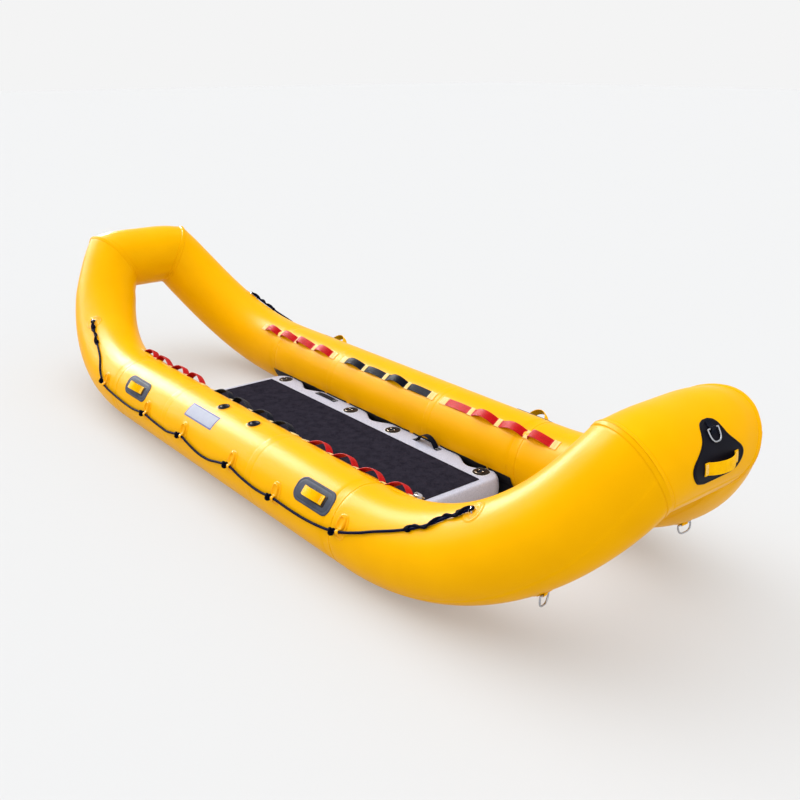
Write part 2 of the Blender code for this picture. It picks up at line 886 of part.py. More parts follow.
def lifeline(name, side, material):
    place = on_side_tube(side)
    route = rope_route()
    curve = bpy.data.curves.new(name, "CURVE")
    curve.dimensions = "3D"
    curve.bevel_depth = rope_radius
    curve.bevel_resolution = rope_bevel_steps
    curve.use_fill_caps = True
    spots = rope_stations(route)
    spline = curve.splines.new("POLY")
    spline.points.add(len(spots) - 1)
    for point, (at, share) in zip(spline.points, spots):
        station, angle, height = rope_point(route, at)
        height += (share - 1) * rope_radius
        point.co = (*place(station, angle, height), 1)
        point.radius = share
    curve.materials.append(material)
    piece = bpy.data.objects.new(name, curve)
    bpy.context.scene.collection.objects.link(piece)
    return piece


def lug(name, place, route, index, material):
    """A short moulded tube that the lifeline runs through, its axis along the rope."""
    middle = place(*route[index])
    reach = lug_length / 2 / (route[index + 1][0] - route[index - 1][0])
    axis = unit(place(*rope_point(route, index + reach)) - place(*rope_point(route, index - reach)))
    outward = middle - place(route[index][0], route[index][1], 0)
    outward = unit(outward - outward @ axis * axis)
    other = np.cross(axis, outward)
    inner = (rope_radius + lug_clearance) / math.cos(math.pi / lug_sides)
    rings = []
    for end, radius in ((-1, inner + lug_wall), (1, inner + lug_wall), (1, inner), (-1, inner)):
        ring = []
        for k in range(lug_sides):
            turn = 2 * math.pi * (k + 0.5) / lug_sides
            spoke = radius * (math.cos(turn) * outward + math.sin(turn) * other)
            ring.append(middle + end * lug_length / 2 * axis + spoke)
        rings.append(ring)
    return loft(name, rings, material, closed=True)


def lifeline_patches(side_name, side, material):
    place = on_side_tube(side)
    route = rope_route()
    sweep = degrees_of(patch_round)
    for number, index in enumerate(patch_route_points, 1):
        station, angle, _ = route[index]
        low_angle = angle - patch_rise_share * sweep
        rows = []
        for share, width in zip(patch_shares, patch_width_shares):
            half = patch_length / 2 * width
            rows.append((low_angle + share * sweep, station - half, station + half))
        low = seat_gap + ridge_dip(side, station, angle, patch_length)
        patch = skin_patch(f"lifeline_patch_{side_name}_{number}", place, bent_rows(rows), low,
                           patch_thickness, material)
        eyelet = lug(f"cutter_lug_{side_name}_{number}", place, route, index, material)
        combine(patch, eyelet, "UNION")


def round_rows(station, angle, radius, steps):
    """Rows of a round patch: more of them where its outline turns fastest."""
    rows = []
    for k in range(steps + 1):
        turn = math.pi * (eye_patch_cut_share + (1 - 2 * eye_patch_cut_share) * k / steps)
        rows.append((angle - degrees_of(radius) * math.cos(turn),
                     station - radius * math.sin(turn), station + radius * math.sin(turn)))
    return rows


def lifeline_eyes(side_name, side, material):
    """A round patch at each end of the lifeline, with the eye that the rope is tied to."""
    place = on_side_tube(side)
    route = rope_route()
    for end, index in (("stern", 0), ("bow", -1)):
        station, angle, height = route[index]
        rows = round_rows(station, angle, eye_patch_radius, eye_steps)
        patch = skin_patch(f"lifeline_eye_{side_name}_{end}", place, bent_rows(rows), seat_gap,
                           patch_thickness, material, columns=2)
        top = place(station, angle, seat_gap + patch_thickness - eye_wire)
        outward = unit(place(station, angle, tube_radius) - place(station, angle, 0))
        round_way = unit(place(station, angle + 1, 0) - place(station, angle - 1, 0))
        along = np.cross(outward, round_way)
        rings = []
        for k in range(eye_steps + 1):
            turn = math.pi * k / eye_steps
            spoke = math.cos(turn) * round_way + math.sin(turn) * outward
            ring = []
            for j in range(wire_sides):
                roll = 2 * math.pi * j / wire_sides
                ring.append(top + eye_radius * spoke
                            + eye_wire * (math.cos(roll) * spoke + math.sin(roll) * along))
            rings.append(ring)
        eye = loft(f"cutter_eye_{side_name}_{end}", rings, material)
        combine(patch, eye, "UNION")


def grab_handles(patch_material, strap_material):
    """A grey glued patch with a raised webbing grip along it."""
    sweep = degrees_of(grab_patch_round)
    corner = degrees_of(grab_patch_corner)
    half = grab_patch_length / 2
    for side_name, side in SIDES.items():
        place = on_side_tube(side)
        for end, (share, angle) in grab_place_shares.items():
            station = share * straight_half
            rows = []
            for turn_share in grab_corner_shares:
                turn = math.pi / 2 * turn_share
                short = grab_patch_corner * (1 - math.sin(turn))
                rows.append((angle - sweep / 2 + corner * (1 - math.cos(turn)),
                             station - half + short, station + half - short))
            inner = sweep / 2 - corner
            rows += [(angle + inner * part, station - half, station + half) for part in grab_flat_shares]
            rows += [(2 * angle - row[0], row[1], row[2]) for row in rows[2::-1]]
            patch = skin_patch(f"grab_handle_{side_name}_{end}", place, bent_rows(rows), seat_gap,
                               grab_thickness, patch_material)
            patch.data.materials.append(strap_material)
            spread = degrees_of(grab_strap_width) / 2
            rings = []
            for along, height in arch_profile(grab_strap_length, grab_foot, grab_rise, grab_steps):
                under = seat_gap + grab_thickness / 2 + height
                ring = [place(station + along, angle + part * spread, under) for part in (-1, 0, 1)]
                ring += [place(station + along, angle + part * spread, under + grab_thickness)
                         for part in (1, 0, -1)]
                rings.append(ring)
            strap = loft(f"cutter_grab_{side_name}_{end}", rings, strap_material)
            combine(patch, strap, "UNION")


def valve_frame(end):
    """The middle of a valve on the tube's true skin, and the direction out of it."""
    station = valve_place_shares[end] * straight_half
    _, outward = skin_at(-1, station, valve_angle)
    return centre_at(-1, station) + tube_radius * outward, outward


def valves(tube, body_material, cap_material):
    """Each valve's barrel sits in a pocket of the starboard tube, with its flange on the skin."""
    for end in valve_place_shares:
        base, axis = valve_frame(end)
        pocket_radius = valve_barrel_radius + pocket_gap
        profile = [(0, -valve_barrel_depth - pocket_gap), (pocket_radius, -valve_barrel_depth - pocket_gap),
                   (pocket_radius, overrun), (0, overrun)]
        pocket = turned(f"cutter_pocket_{end}", base, axis, profile, valve_sides, body_material)
        combine(tube, pocket, "DIFFERENCE")
        low = skin_sag + seat_gap
        high = low + valve_height
        seat = cap_radius + pocket_gap
        seat_floor = high - cap_recess
        body = [(0, -valve_barrel_depth), (valve_barrel_radius, -valve_barrel_depth),
                (valve_barrel_radius, low), (valve_radius, low), (valve_radius - valve_bevel, high),
                (seat, high), (seat, seat_floor), (0, seat_floor)]
        turned(f"valve_body_{end}", base, axis, body, valve_sides, body_material)
        floor = seat_floor + seat_gap
        crown = [(0, floor), (cap_radius, floor), (cap_radius, high),
                 (cap_radius * cap_flat_share, high + cap_crown * cap_flat_share), (0, high + cap_crown)]
        cap = turned(f"valve_cap_{end}", base, axis, crown, valve_sides, cap_material)
        grip = grip_bar(f"cutter_grip_{end}", base, axis, high, cap_material)
        combine(cap, grip, "UNION")


def grip_bar(name, base, axis, high, material):
    """The raised bar across a valve cap that a thumb and finger turn."""
    across = unit(np.cross(axis, (0.0, 1.0, 0.0)))
    other = np.cross(axis, across)
    half = cap_radius * cap_flat_share
    rings = []
    for along in (-half, half):
        ring = []
        for edge, height in ((-1, 0), (1, 0), (1, cap_crown + grip_height), (-1, cap_crown + grip_height)):
            ring.append(base + along * across + edge * grip_width / 2 * other + (high + height) * axis)
        rings.append(ring)
    return loft(name, rings, material)


def label_panel(material):
    """A thin bare panel glued between the valves and the stern grab handle."""
    place = on_side_tube(-1)
    station = label_place_share * straight_half
    sweep = degrees_of(label_round)
    rows = [(label_angle + sweep * (k / label_steps - 0.5), station - label_length / 2,
             station + label_length / 2) for k in range(label_steps + 1)]
    return skin_patch("label_panel", place, bent_rows(rows), seat_gap, label_thickness, material)


def tow_fittings(patch_material, handle_material, ring_material):
    """The black towing patch on the bow cross tube, its steel ring and its webbing handle."""
    low, top, foot_low = tow_heights()
    patch = skin_patch("tow_patch", on_bow_tube, tow_rows(), low, tow_thickness, patch_material)
    bar = top + sleeve_reach(tow_ring_wire)
    middle = on_bow_tube(0, tow_ring_angle, bar)
    tab = sleeve("cutter_tow_sleeve", middle, (0, 1, 0), tow_ring_wire, tow_ring_width * sleeve_share,
                 patch_material)
    combine(patch, tab, "UNION")
    bar_reach = tube_radius + bar
    tip_reach = tube_radius + top + seat_gap + tow_ring_wire
    turn = math.acos((bar_reach**2 + tip_reach**2 - tow_ring_length**2) / (2 * bar_reach * tip_reach))
    tip = on_bow_tube(0, tow_ring_angle - math.degrees(turn), tip_reach - tube_radius)
    wire_ring("tow_ring", middle, (0, 1, 0), tip - middle, tow_ring_width, tow_ring_length, tow_ring_wire,
              ring_material)
    rings = []
    spread = degrees_of(tow_handle_width) / 2
    for along, height in arch_profile(tow_handle_length, tow_handle_foot, tow_handle_rise, grab_steps):
        under = foot_low + height
        across = tow_handle_shift + along
        ring = [on_bow_tube(across, tow_handle_angle + part * spread, under) for part in (-1, 0, 1)]
        ring += [on_bow_tube(across, tow_handle_angle + part * spread, under + tow_handle_thickness)
                 for part in (1, 0, -1)]
        rings.append(ring)
    loft("tow_handle", rings, handle_material)


def under_bow_rings(tab_material, ring_material):
    """A webbing tab under each side of the bow, with a ring that hangs from it."""
    station = straight_half + under_segment * bend_step
    for side_name, side in SIDES.items():
        centre, along, across, up = frame_at(side, station)
        rings = []
        for edge in (-1, 1):
            ring = []
            for reach, depth in ((-1, 0), (1, 0), (1, under_tab_thickness), (-1, under_tab_thickness)):
                height = tube_radius + seat_gap + depth
                ring.append(centre - height * up + edge * under_tab_width / 2 * across
                            + reach * under_tab_length / 2 * along)
            rings.append(ring)
        plate = loft(f"under_tab_{side_name}", rings, tab_material)
        bar = tube_radius + seat_gap + under_tab_thickness + sleeve_reach(under_ring_wire)
        middle = centre - bar * up
        tab = sleeve(f"cutter_under_{side_name}", middle, across, under_ring_wire,
                     under_ring_width * sleeve_share, tab_material)
        combine(plate, tab, "UNION")
        down = np.array([0.0, 0.0, -1.0])
        wire_ring(f"under_ring_{side_name}", middle, across, down - down @ across * across,
                  under_ring_width, under_ring_length, under_ring_wire, ring_material)


def build():
    clear_scene()
    yellow = make_material("yellow_fabric", (1.0, 0.6, 0.0), 0.45)
    grey_fabric = make_material("grey_fabric", (0.6, 0.61, 0.66), 0.55)
    black_fabric = make_material("black_fabric", (0.02, 0.02, 0.024), 0.7)
    black_foam = make_material("black_foam", (0.035, 0.033, 0.04), 0.9)
    dark_patch = make_material("dark_patch", (0.05, 0.035, 0.03), 0.5)
    red_webbing = make_material("red_webbing", (0.62, 0.03, 0.04), 0.6)
    black_webbing = make_material("black_webbing", (0.02, 0.022, 0.028), 0.6)
    yellow_webbing = make_material("yellow_webbing", (0.95, 0.5, 0.0), 0.6)
    grip_grey = make_material("grip_grey", (0.2, 0.21, 0.23), 0.6)
    rope_black = make_material("rope_black", (0.012, 0.013, 0.02), 0.8)
    steel = make_material("stainless_steel", (0.7, 0.7, 0.72), 0.25, 1.0)
    valve_black = make_material("valve_black", (0.02, 0.02, 0.025), 0.3)
    label_white = make_material("label_white", (0.8, 0.82, 0.86), 0.4)

    starboard = side_tube("side_tube_starboard", -1, yellow)
    side_tube("side_tube_port", 1, yellow)
    for end_name, end in ENDS.items():
        cross_tube(f"cross_tube_{end_name}", end, yellow)
    floor_sheet(black_fabric)
    deck_board(grey_fabric, dark_patch)
    deck_pad(black_foam)
    deck_rings(steel)
    deck_handles(black_webbing)
    loop_rows(red_webbing, black_webbing)
    inner_ring(steel)
    for side_name, side in SIDES.items():
        lifeline(f"lifeline_{side_name}", side, rope_black)
        lifeline_patches(side_name, side, yellow)
        lifeline_eyes(side_name, side, yellow)
    grab_handles(grip_grey, yellow_webbing)
    valves(starboard, valve_black, valve_black)
    label_panel(label_white)
    tow_fittings(black_fabric, yellow_webbing, steel)
    under_bow_rings(yellow_webbing, steel)


build()
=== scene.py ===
"""The looks of the towable inflatable boat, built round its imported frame.

Metres, +Z up, +X towards the bow and +Y to port, as in the frame. A place on a side tube is a station along
its centre line from amidships and an angle round it: 0 outboard, 90 on top, 180 inboard, -90 underneath.
A pad's profile is distances in from its rim, each with the height there; the last height is the middle's.
"""

import json
import math
from functools import partial

import bmesh
import bpy
import numpy as np
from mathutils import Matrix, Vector


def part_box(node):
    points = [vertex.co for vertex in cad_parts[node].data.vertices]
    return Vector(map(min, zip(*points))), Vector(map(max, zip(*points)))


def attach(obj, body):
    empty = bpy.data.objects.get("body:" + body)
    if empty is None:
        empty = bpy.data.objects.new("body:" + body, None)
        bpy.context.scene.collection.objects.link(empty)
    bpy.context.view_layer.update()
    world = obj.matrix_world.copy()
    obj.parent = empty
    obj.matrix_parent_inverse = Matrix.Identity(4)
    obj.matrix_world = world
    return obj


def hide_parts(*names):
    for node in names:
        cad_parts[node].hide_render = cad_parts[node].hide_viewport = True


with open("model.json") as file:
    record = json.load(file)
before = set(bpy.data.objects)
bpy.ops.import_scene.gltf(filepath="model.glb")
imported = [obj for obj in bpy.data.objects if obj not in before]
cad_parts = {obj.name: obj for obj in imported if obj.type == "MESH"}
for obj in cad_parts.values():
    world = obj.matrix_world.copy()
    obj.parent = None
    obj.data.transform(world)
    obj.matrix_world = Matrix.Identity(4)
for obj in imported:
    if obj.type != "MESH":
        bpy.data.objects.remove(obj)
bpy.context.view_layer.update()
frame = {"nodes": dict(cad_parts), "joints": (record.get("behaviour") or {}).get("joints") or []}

# The shape law of the tubes, as the frame was built
tube_radius = 0.18
tube_offset = 0.5085
straight_half = 1.02
end_length = 1.226
end_angle = math.radians(64.5)
end_rise_power = 1.361
end_taper_power = 2.275
tip_offset = 0.2106
corner_blend = 0.3
corner_share = 0.93
corner_round_share = 0.885
corner_round_reach = 0.12
curve_steps = 220
cross_blend_share = 0.35
sheet_low, sheet_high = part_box("floor_sheet")
middle_x = (sheet_low.x + sheet_high.x) / 2
seat_gap = 0.0003
sharp_angle = math.radians(40)
random_seed = 7

# The skins' own detail
skin_radius = tube_radius + 0.0004
sides_round = 128
straight_step = 0.024
end_step = 0.0125
seam_clearance = 0.006
mitre_clearance = 0.003
tip_clearance = 0.002
tape_half = 0.02
tape_step = 0.0008
tape_rise = 0.0015
tape_fold = 0.0012
tape_fold_reach = 0.003
seam_stations = (-1.02, -0.42, 0.42, 1.02)
seam_strengths = (0.75, 0.15, 0.18, 0.85)
seam_pinch = 0.0028
seam_pinch_reach = 0.03
pucker_height = 0.0013
pucker_reach = 0.06
mitre_tape = 0.014
mitre_pucker = 0.0022
mitre_reach = 0.11
mitre_waves_below = 18
strip_angles = (-132, -48)
strip_step_angle = 0.3
strip_rise = 0.0012
strip_spread = 1.2
strip_fade = 0.03
cross_strip_low = -170
cross_strip_high = -29 - math.degrees(end_angle)
cross_rings = 28

SIDES = {"starboard": -1, "port": 1}
ENDS = {"stern": -1, "bow": 1}


def unit(vector):
    vector = np.asarray(vector, float)
    return vector / np.linalg.norm(vector, axis=-1, keepdims=True)


def square_to(way):
    return unit(np.cross(way, np.eye(3)[np.argmin(np.abs(way))]))


def spokes(first, second, count):
    """Unit ways all round, from the first towards the second."""
    turns = np.arange(count)[:, None] * 2 * math.pi / count
    return np.cos(turns) * first + np.sin(turns) * second


def smoothstep(share):
    share = np.clip(share, 0.0, 1.0)
    return share * share * (3 - 2 * share)


def degrees_of(arc):
    return np.degrees(arc / tube_radius)


def marks_of(line):
    """The length along a line at each of its points."""
    return np.concatenate([[0], np.cumsum(np.linalg.norm(np.diff(line, axis=0), axis=1))])


def columns_at(spots, places, values):
    """Each column of the values at these spots, read between the places."""
    return np.stack([np.interp(spots, places, values[:, i]) for i in range(3)], -1)


def side_curve():
    """Stations from amidships to the bow tip, with the centre line's point and direction at each."""
    share = np.linspace(0, 1, curve_steps + 1)
    step = end_length / curve_steps
    slope = end_angle * ((share[1:] + share[:-1]) / 2) ** end_rise_power
    x = straight_half + np.concatenate([[0], np.cumsum(np.cos(slope) * step)])
    z = tube_radius + np.concatenate([[0], np.cumsum(np.sin(slope) * step)])
    y = tube_offset - (tube_offset - tip_offset) * share**end_taper_power
    points = np.vstack([[0, tube_offset, tube_radius], np.stack([x, y, z], 1)])
    stations = marks_of(points)
    return stations, points, unit(np.gradient(points, stations, axis=0))


STATIONS, CENTRES, WAYS = side_curve()
tip_station = float(STATIONS[-1])
tip_x = float(CENTRES[-1][0])
tip_z = float(CENTRES[-1][2])


def tube_frames(side, station):
    """Centres, directions towards the bow, and outboard and upward directions at these stations."""
    station = np.asarray(station, float)
    way = np.where(station < 0, -1.0, 1.0)
    ones = np.ones_like(way)
    centre = columns_at(np.abs(station), STATIONS, CENTRES) * np.stack([way, side * ones, ones], -1)
    centre = centre + np.array([middle_x, 0, 0])
    along = unit(columns_at(np.abs(station), STATIONS, WAYS) * np.stack([ones, side * way, way], -1))
    across = np.array([0.0, side, 0.0])
    across = unit(across - (along @ across)[..., None] * along)
    return centre, along, across, np.cross(across, along) * -side


def skin(side, station, angle, height):
    """Points at these stations, angles and heights over a side tube's skin."""
    station, angle, height = alike(station, angle, height)
    centre, _, across, up = tube_frames(side, station)
    turn = np.radians(angle)[..., None]
    return centre + (skin_radius + height)[..., None] * (np.cos(turn) * across + np.sin(turn) * up)


def on_bow_tube(across, angle, height):
    """Points at these distances to port, angles up from straight ahead and heights over the cross tube."""
    across, angle, height = alike(across, angle, height)
    turn = np.radians(angle)
    reach = skin_radius + height
    return np.stack([middle_x + tip_x + reach * np.cos(turn), across, tip_z + reach * np.sin(turn)], -1)


def out_of(place, along, angle):
    return unit(place(along, angle, tube_radius) - place(along, angle, 0))


def round_way(place, along, angle):
    return unit(place(along, angle + 1, 0) - place(along, angle - 1, 0))


def alike(*values):
    """The values as arrays of one shape."""
    return np.broadcast_arrays(*(np.asarray(value, float) for value in values))


def joint_of(node):
    return next(joint for joint in frame["joints"] if joint["child"] == node)


# Materials. A node's output knows its node tree, so the helpers take outputs alone.

webbing_rib = 0.0022
fabric_weave = 1100 / 6
rope_bands = 60.0
board_dash_angle = math.radians(35)

# Each look's colours in light and shade, its roughness and its gloss
coated = {
    "yellow_fabric": ((0.83, 0.402, 0.0), (0.79, 0.376, 0.0), 0.3, 0.02),
    "black_fabric": ((0.02, 0.02, 0.024), (0.012, 0.012, 0.015), 0.5, 0.06),
    "patch_black": ((0.0055, 0.0055, 0.011), (0.003, 0.003, 0.006), 0.45, 0.05),
}
mouldings = {
    "yellow_moulding": ((0.86, 0.41, 0.01), (0.78, 0.32, 0.0), 0.3, 0.025),
    # Dark rubber for the deck fittings; the same look is painted shadow under the grab straps.
    "dark_rubber": ((0.03, 0.019, 0.013), (0.014, 0.01, 0.008), 0.5, 0.03),
    "grip_grey": ((0.062, 0.071, 0.098), (0.046, 0.053, 0.072), 0.45, 0.015),
    "valve_black": ((0.007, 0.008, 0.016), (0.004, 0.004, 0.008), 0.2, 0.015),
    "label": ((0.42, 0.44, 0.52), (0.37, 0.39, 0.47), 0.6, 0.01),
    "label_border": ((0.1, 0.12, 0.3), (0.08, 0.1, 0.24), 0.6, 0.05),
    "thread_pale": ((0.85, 0.72, 0.4), (0.7, 0.55, 0.25), 0.7, 0.05),
    "thread_white": ((0.75, 0.75, 0.75), (0.55, 0.55, 0.55), 0.7, 0.05),
    "thread_black": ((0.02, 0.02, 0.02), (0.01, 0.01, 0.01), 0.7, 0.05),
}
# Each look's colours in light and shade, its gloss and its sheen
webbings = {
    "red_webbing": ((0.6, 0.008, 0.01), (0.2, 0.002, 0.003), 0.03, 0.08),
    "black_webbing": ((0.007, 0.009, 0.018), (0.002, 0.0025, 0.005), 0.012, 0.26),
    "yellow_webbing": ((1.0, 0.56, 0.0), (0.72, 0.3, 0.0), 0.03, 0.08),
    "tab_cream": ((0.86, 0.64, 0.26), (0.68, 0.44, 0.1), 0.03, 0.08),
    "tab_pale": ((0.5, 0.52, 0.6), (0.3, 0.32, 0.4), 0.03, 0.08),
}
# Each rope's colours between its strands and on them
ropes = {
    "rope": ((0.0012, 0.0016, 0.007), (0.005, 0.009, 0.065)),
    "rope_dark": ((0.001, 0.0014, 0.004), (0.006, 0.009, 0.026)),
}
steels = {"steel": ((0.42, 0.43, 0.46),), "steel_dull": ((0.115, 0.088, 0.062),)}
board_colors = (0.5, 0.51, 0.6), (0.34, 0.35, 0.43)
foam_colors = (0.008, 0.0075, 0.012), (0.025, 0.0225, 0.033)


def new_material(name, color, roughness, gloss=0.5, **sockets):
    """A Principled material, with the extra sockets named as in Blender and underscores for spaces."""
    material = bpy.data.materials.new(f"{name}_look")
    material.use_nodes = True
    material.diffuse_color = (*color, 1)
    sockets.update(Base_Color=(*color, 1), Roughness=roughness, Specular_IOR_Level=gloss)
    shader = material.node_tree.nodes["Principled BSDF"]
    for socket, value in sockets.items():
        shader.inputs[socket.replace("_", " ")].default_value = value
    return material


def add_node(tree, kind, inputs, output=0, **settings):
    """A new node's output. Each input is a value or the output that feeds it."""
    node = tree.nodes.new(kind)
    for name, value in settings.items():
        setattr(node, name, value)
    for name, value in inputs.items():
        if isinstance(value, bpy.types.NodeSocket):
            tree.links.new(value, node.inputs[name])
        else:
            node.inputs[name].default_value = value
    return node.outputs[output]


def place_of(material, kind="Object"):
    return add_node(material.node_tree, "ShaderNodeTexCoord", {}, kind)


def mapped(place, scale, turn=0.0):
    return add_node(place.id_data, "ShaderNodeMapping", {
        "Vector": place, "Scale": scale, "Rotation": (0, 0, turn)})


def noise(place, scale, detail=3.0, roughness=0.5):
    return add_node(place.id_data, "ShaderNodeTexNoise", {
        "Vector": place, "Scale": scale, "Detail": detail, "Roughness": roughness}, "Fac")


def waves(place, direction, scale):
    return add_node(place.id_data, "ShaderNodeTexWave", {
        "Vector": place, "Scale": scale, "Detail": 0.0}, "Fac", bands_direction=direction)


def combined(operation, first, second):
    return add_node(first.id_data, "ShaderNodeMath", {0: first, 1: second}, operation=operation)


times = partial(combined, "MULTIPLY")
plus = partial(combined, "ADD")


def mixed(first, share, second, other_share):
    return plus(times(first, share), times(second, other_share))


def join(output, socket):
    output.id_data.links.new(output, output.id_data.nodes["Principled BSDF"].inputs[socket])


def shaded(factor, *stops):
    """The base colour from a factor. Each of two stops is a place from 0 to 1 and a colour."""
    output = add_node(factor.id_data, "ShaderNodeValToRGB", {"Fac": factor})
    for element, (where, color) in zip(output.node.color_ramp.elements, stops):
        element.position = where
        element.color = (*color, 1)
    join(output, "Base Color")


def roughened(factor, low, high):
    join(add_node(factor.id_data, "ShaderNodeMapRange", {
        "Value": factor, "From Min": 0.3, "From Max": 0.7, "To Min": low, "To Max": high}), "Roughness")


def bump(height, strength, distance):
    join(add_node(height.id_data, "ShaderNodeBump", {
        "Height": height, "Strength": strength, "Distance": distance}), "Normal")


def coated_fabric(name, color, dark, roughness, gloss):
    """Fabric coated with plastic: a soft gloss, a fine weave that prints through, and faint unevenness."""
    material = new_material(name, color, roughness, gloss)
    place = place_of(material)
    shaded(noise(place, 5.0), (0.25, dark), (0.7, color))
    roughened(noise(place, 9.0), roughness - 0.015, roughness + 0.015)
    map_place = place_of(material, "UV")
    threads = times(waves(map_place, "X", fabric_weave), waves(map_place, "Y", fabric_weave))
    bump(mixed(threads, 0.5, noise(place, 60.0), 0.8), 0.12, 0.0006)
    return material


def webbing(name, color, dark, gloss, sheen):
    """Woven tape: ribs along it, crossed by a finer weft, with a slight sheen."""
    tint = [(0.6 + c) / 1.6 for c in color]
    material = new_material(name, color, 0.5, gloss, Sheen_Weight=sheen, Sheen_Roughness=0.3,
                            Sheen_Tint=(*tint, 1))
    place = place_of(material, "UV")
    # A wave texture's bands are 2 pi / 20 of a unit apart at scale 1.
    bands = math.pi / 10 / webbing_rib
    cloth = times(waves(place, "Y", bands), plus(times(waves(place, "X", bands * 1.7), 0.6), 0.4))
    shaded(mixed(cloth, 0.6, noise(place_of(material), 45.0), 0.4), (0.1, dark), (0.55, color))
    bump(cloth, 0.6, 0.0005)
    return material


def braided(name, color, light):
    material = new_material(name, color, 0.6, 0.01)
    place = place_of(material, "UV")
    strands = times(waves(place, "DIAGONAL", rope_bands),
                    waves(mapped(place, (1, -1, 1)), "DIAGONAL", rope_bands))
    shaded(strands, (0.0, color), (1.0, light))
    bump(strands, 0.5, 0.0008)
    return material


def moulded(name, color, dark, roughness, gloss):
    """Moulded rubber or plastic, with a faint grain."""
    material = new_material(name, color, roughness, gloss)
    place = place_of(material)
    shaded(noise(place, 30.0), (0.3, dark), (0.7, color))
    roughened(noise(place, 90.0), roughness - 0.06, roughness + 0.08)
    bump(noise(place, 900.0, 2.0), 0.15, 0.0003)
    return material


def steel_of(name, color):
    material = new_material(name, color, 0.25, Metallic=1.0)
    place = place_of(material)
    roughened(noise(place, 120.0), 0.18, 0.34)
    bump(noise(place, 700.0, 2.0), 0.06, 0.0003)
    return material


def board_fabric(name, color, dark):
    """The deck board's skin, light grey with a fine printed texture of slanting dashes."""
    material = new_material(name, color, 0.5, 0.05)
    dashes = noise(mapped(place_of(material), (1, 3, 1), board_dash_angle), 260.0, 1.0)
    shaded(dashes, (0.4, dark), (0.56, color))
    bump(dashes, 0.25, 0.0005)
    return material


def foam_of(name, color, light):
    """Closed-cell foam: small tufts, and broad mottling."""
    material = new_material(name, color, 0.85, 0.0)
    place = place_of(material)
    tufts = add_node(place.id_data, "ShaderNodeTexVoronoi", {"Vector": place, "Scale": 240.0}, "Distance")
    grain = mixed(noise(place, 420.0, 2.0, 0.7), 0.6, tufts, 0.5)
    shaded(mixed(grain, 0.5, noise(place, 26.0, 4.0, 0.65), 0.5), (0.35, color), (0.62, light))
    bump(grain, 0.45, 0.001)
    return material


LOOKS = {"board": board_fabric("board", *board_colors), "foam": foam_of("foam", *foam_colors)}
for make, looks in ((coated_fabric, coated), (moulded, mouldings), (webbing, webbings), (braided, ropes),
                    (steel_of, steels)):
    LOOKS.update({name: make(name, *values) for name, values in looks.items()})


# Meshes


class Parts:
    """Gathers several closed solids of one finish into one piece."""

    def __init__(self):
        self.points, self.faces, self.uvs = [], [], []

    def loft(self, rings, closed=False, lengths=None, rounds=None):
        """Joins rings of as many points each, with each face's map in metres along and round."""
        rings = np.asarray(rings, float)
        rows, count, _ = rings.shape
        first = len(self.points)
        self.points.extend(rings.reshape(-1, 3))
        if lengths is None:
            lengths = marks_of(rings.mean(1))
        if rounds is None:
            rounds = marks_of(np.vstack([rings[0], rings[0][:1]]))
        lengths = np.append(lengths, 2 * lengths[-1] - lengths[-2])
        for i in range(rows if closed else rows - 1):
            here = first + i * count
            there = first + (i + 1) % rows * count
            for k in range(count):
                after = (k + 1) % count
                self.faces.append((here + k, here + after, there + after, there + k))
                self.uvs.extend([(lengths[i], rounds[k]), (lengths[i], rounds[k + 1]),
                                 (lengths[i + 1], rounds[k + 1]), (lengths[i + 1], rounds[k])])
        if not closed:
            for start in (first, first + (rows - 1) * count):
                self.faces.append(tuple(range(start, start + count)))
                self.uvs.extend([(0.0, 0.0)] * count)
        return self

    def disc(self, rings, centre_top, centre_low):
        """Nested rings from the underside's rim over the top to a middle point, closed underneath."""
        rows, count, _ = np.shape(rings)
        first = len(self.points)
        top = first + rows * count
        self.points.extend([*np.reshape(rings, (-1, 3)), centre_top, centre_low])
        for k in range(count):
            after = (k + 1) % count
            for here in range(first, top - count, count):
                there = here + count
                self.faces.append((here + k, here + after, there + after, there + k))
            self.faces.append((top - count + k, top - count + after, top))
            self.faces.append((first + after, first + k, top + 1))
        self.uvs.extend([(0.0, 0.0)] * (count * ((rows - 1) * 4 + 6)))
        return self

    def pad(self, place, along, angle, outline, profile, embed=0.0004):
        """A closed pad on a tube. The outline is offsets along and round, in metres."""
        outline = np.asarray(outline, float)
        half = np.abs(outline).max(0)
        rings = []
        for inset, height in [(0.0, -embed), *profile[:-1]]:
            spots = outline * np.clip(1 - inset / half, 0.02, 1)
            rings.append(place(along + spots[:, 0], angle + degrees_of(spots[:, 1]), height))
        return self.disc(rings, place(along, angle, profile[-1][1]), place(along, angle, -embed))

    def piece(self, name, look, slot, stands_for=None, body="hull", sharp=sharp_angle):
        """The piece as a named object, turned outwards, that rides on a body and may replace a node."""
        mesh = bpy.data.meshes.new(name)
        mesh.from_pydata(np.asarray(self.points, float).tolist(), [], self.faces)
        mesh.uv_layers.new(name="metres").data.foreach_set("uv", np.asarray(self.uvs, np.float32).ravel())
        shape = bmesh.new()
        shape.from_mesh(mesh)
        bmesh.ops.recalc_face_normals(shape, faces=shape.faces)
        shape.to_mesh(mesh)
        shape.free()
        mesh.shade_smooth()
        mesh.set_sharp_from_angle(angle=sharp)
        mesh.materials.append(LOOKS[look])
        piece = bpy.data.objects.new(name, mesh)
        bpy.context.scene.collection.objects.link(piece)
        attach(piece, body)
        if stands_for:
            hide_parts(stands_for)
        return piece


def rounded_box(half_along, half_round, corner, steps=8):
    """The outline of a rectangle with rounded corners, as offsets from its middle."""
    points = []
    for number, (sx, sy) in enumerate(((1, 1), (-1, 1), (-1, -1), (1, -1))):
        for turn in math.pi / 2 * (number + np.arange(steps + 1) / steps):
            points.append((sx * (half_along - corner) + corner * math.cos(turn),
                           sy * (half_round - corner) + corner * math.sin(turn)))
    return dense(points, corner / 2)


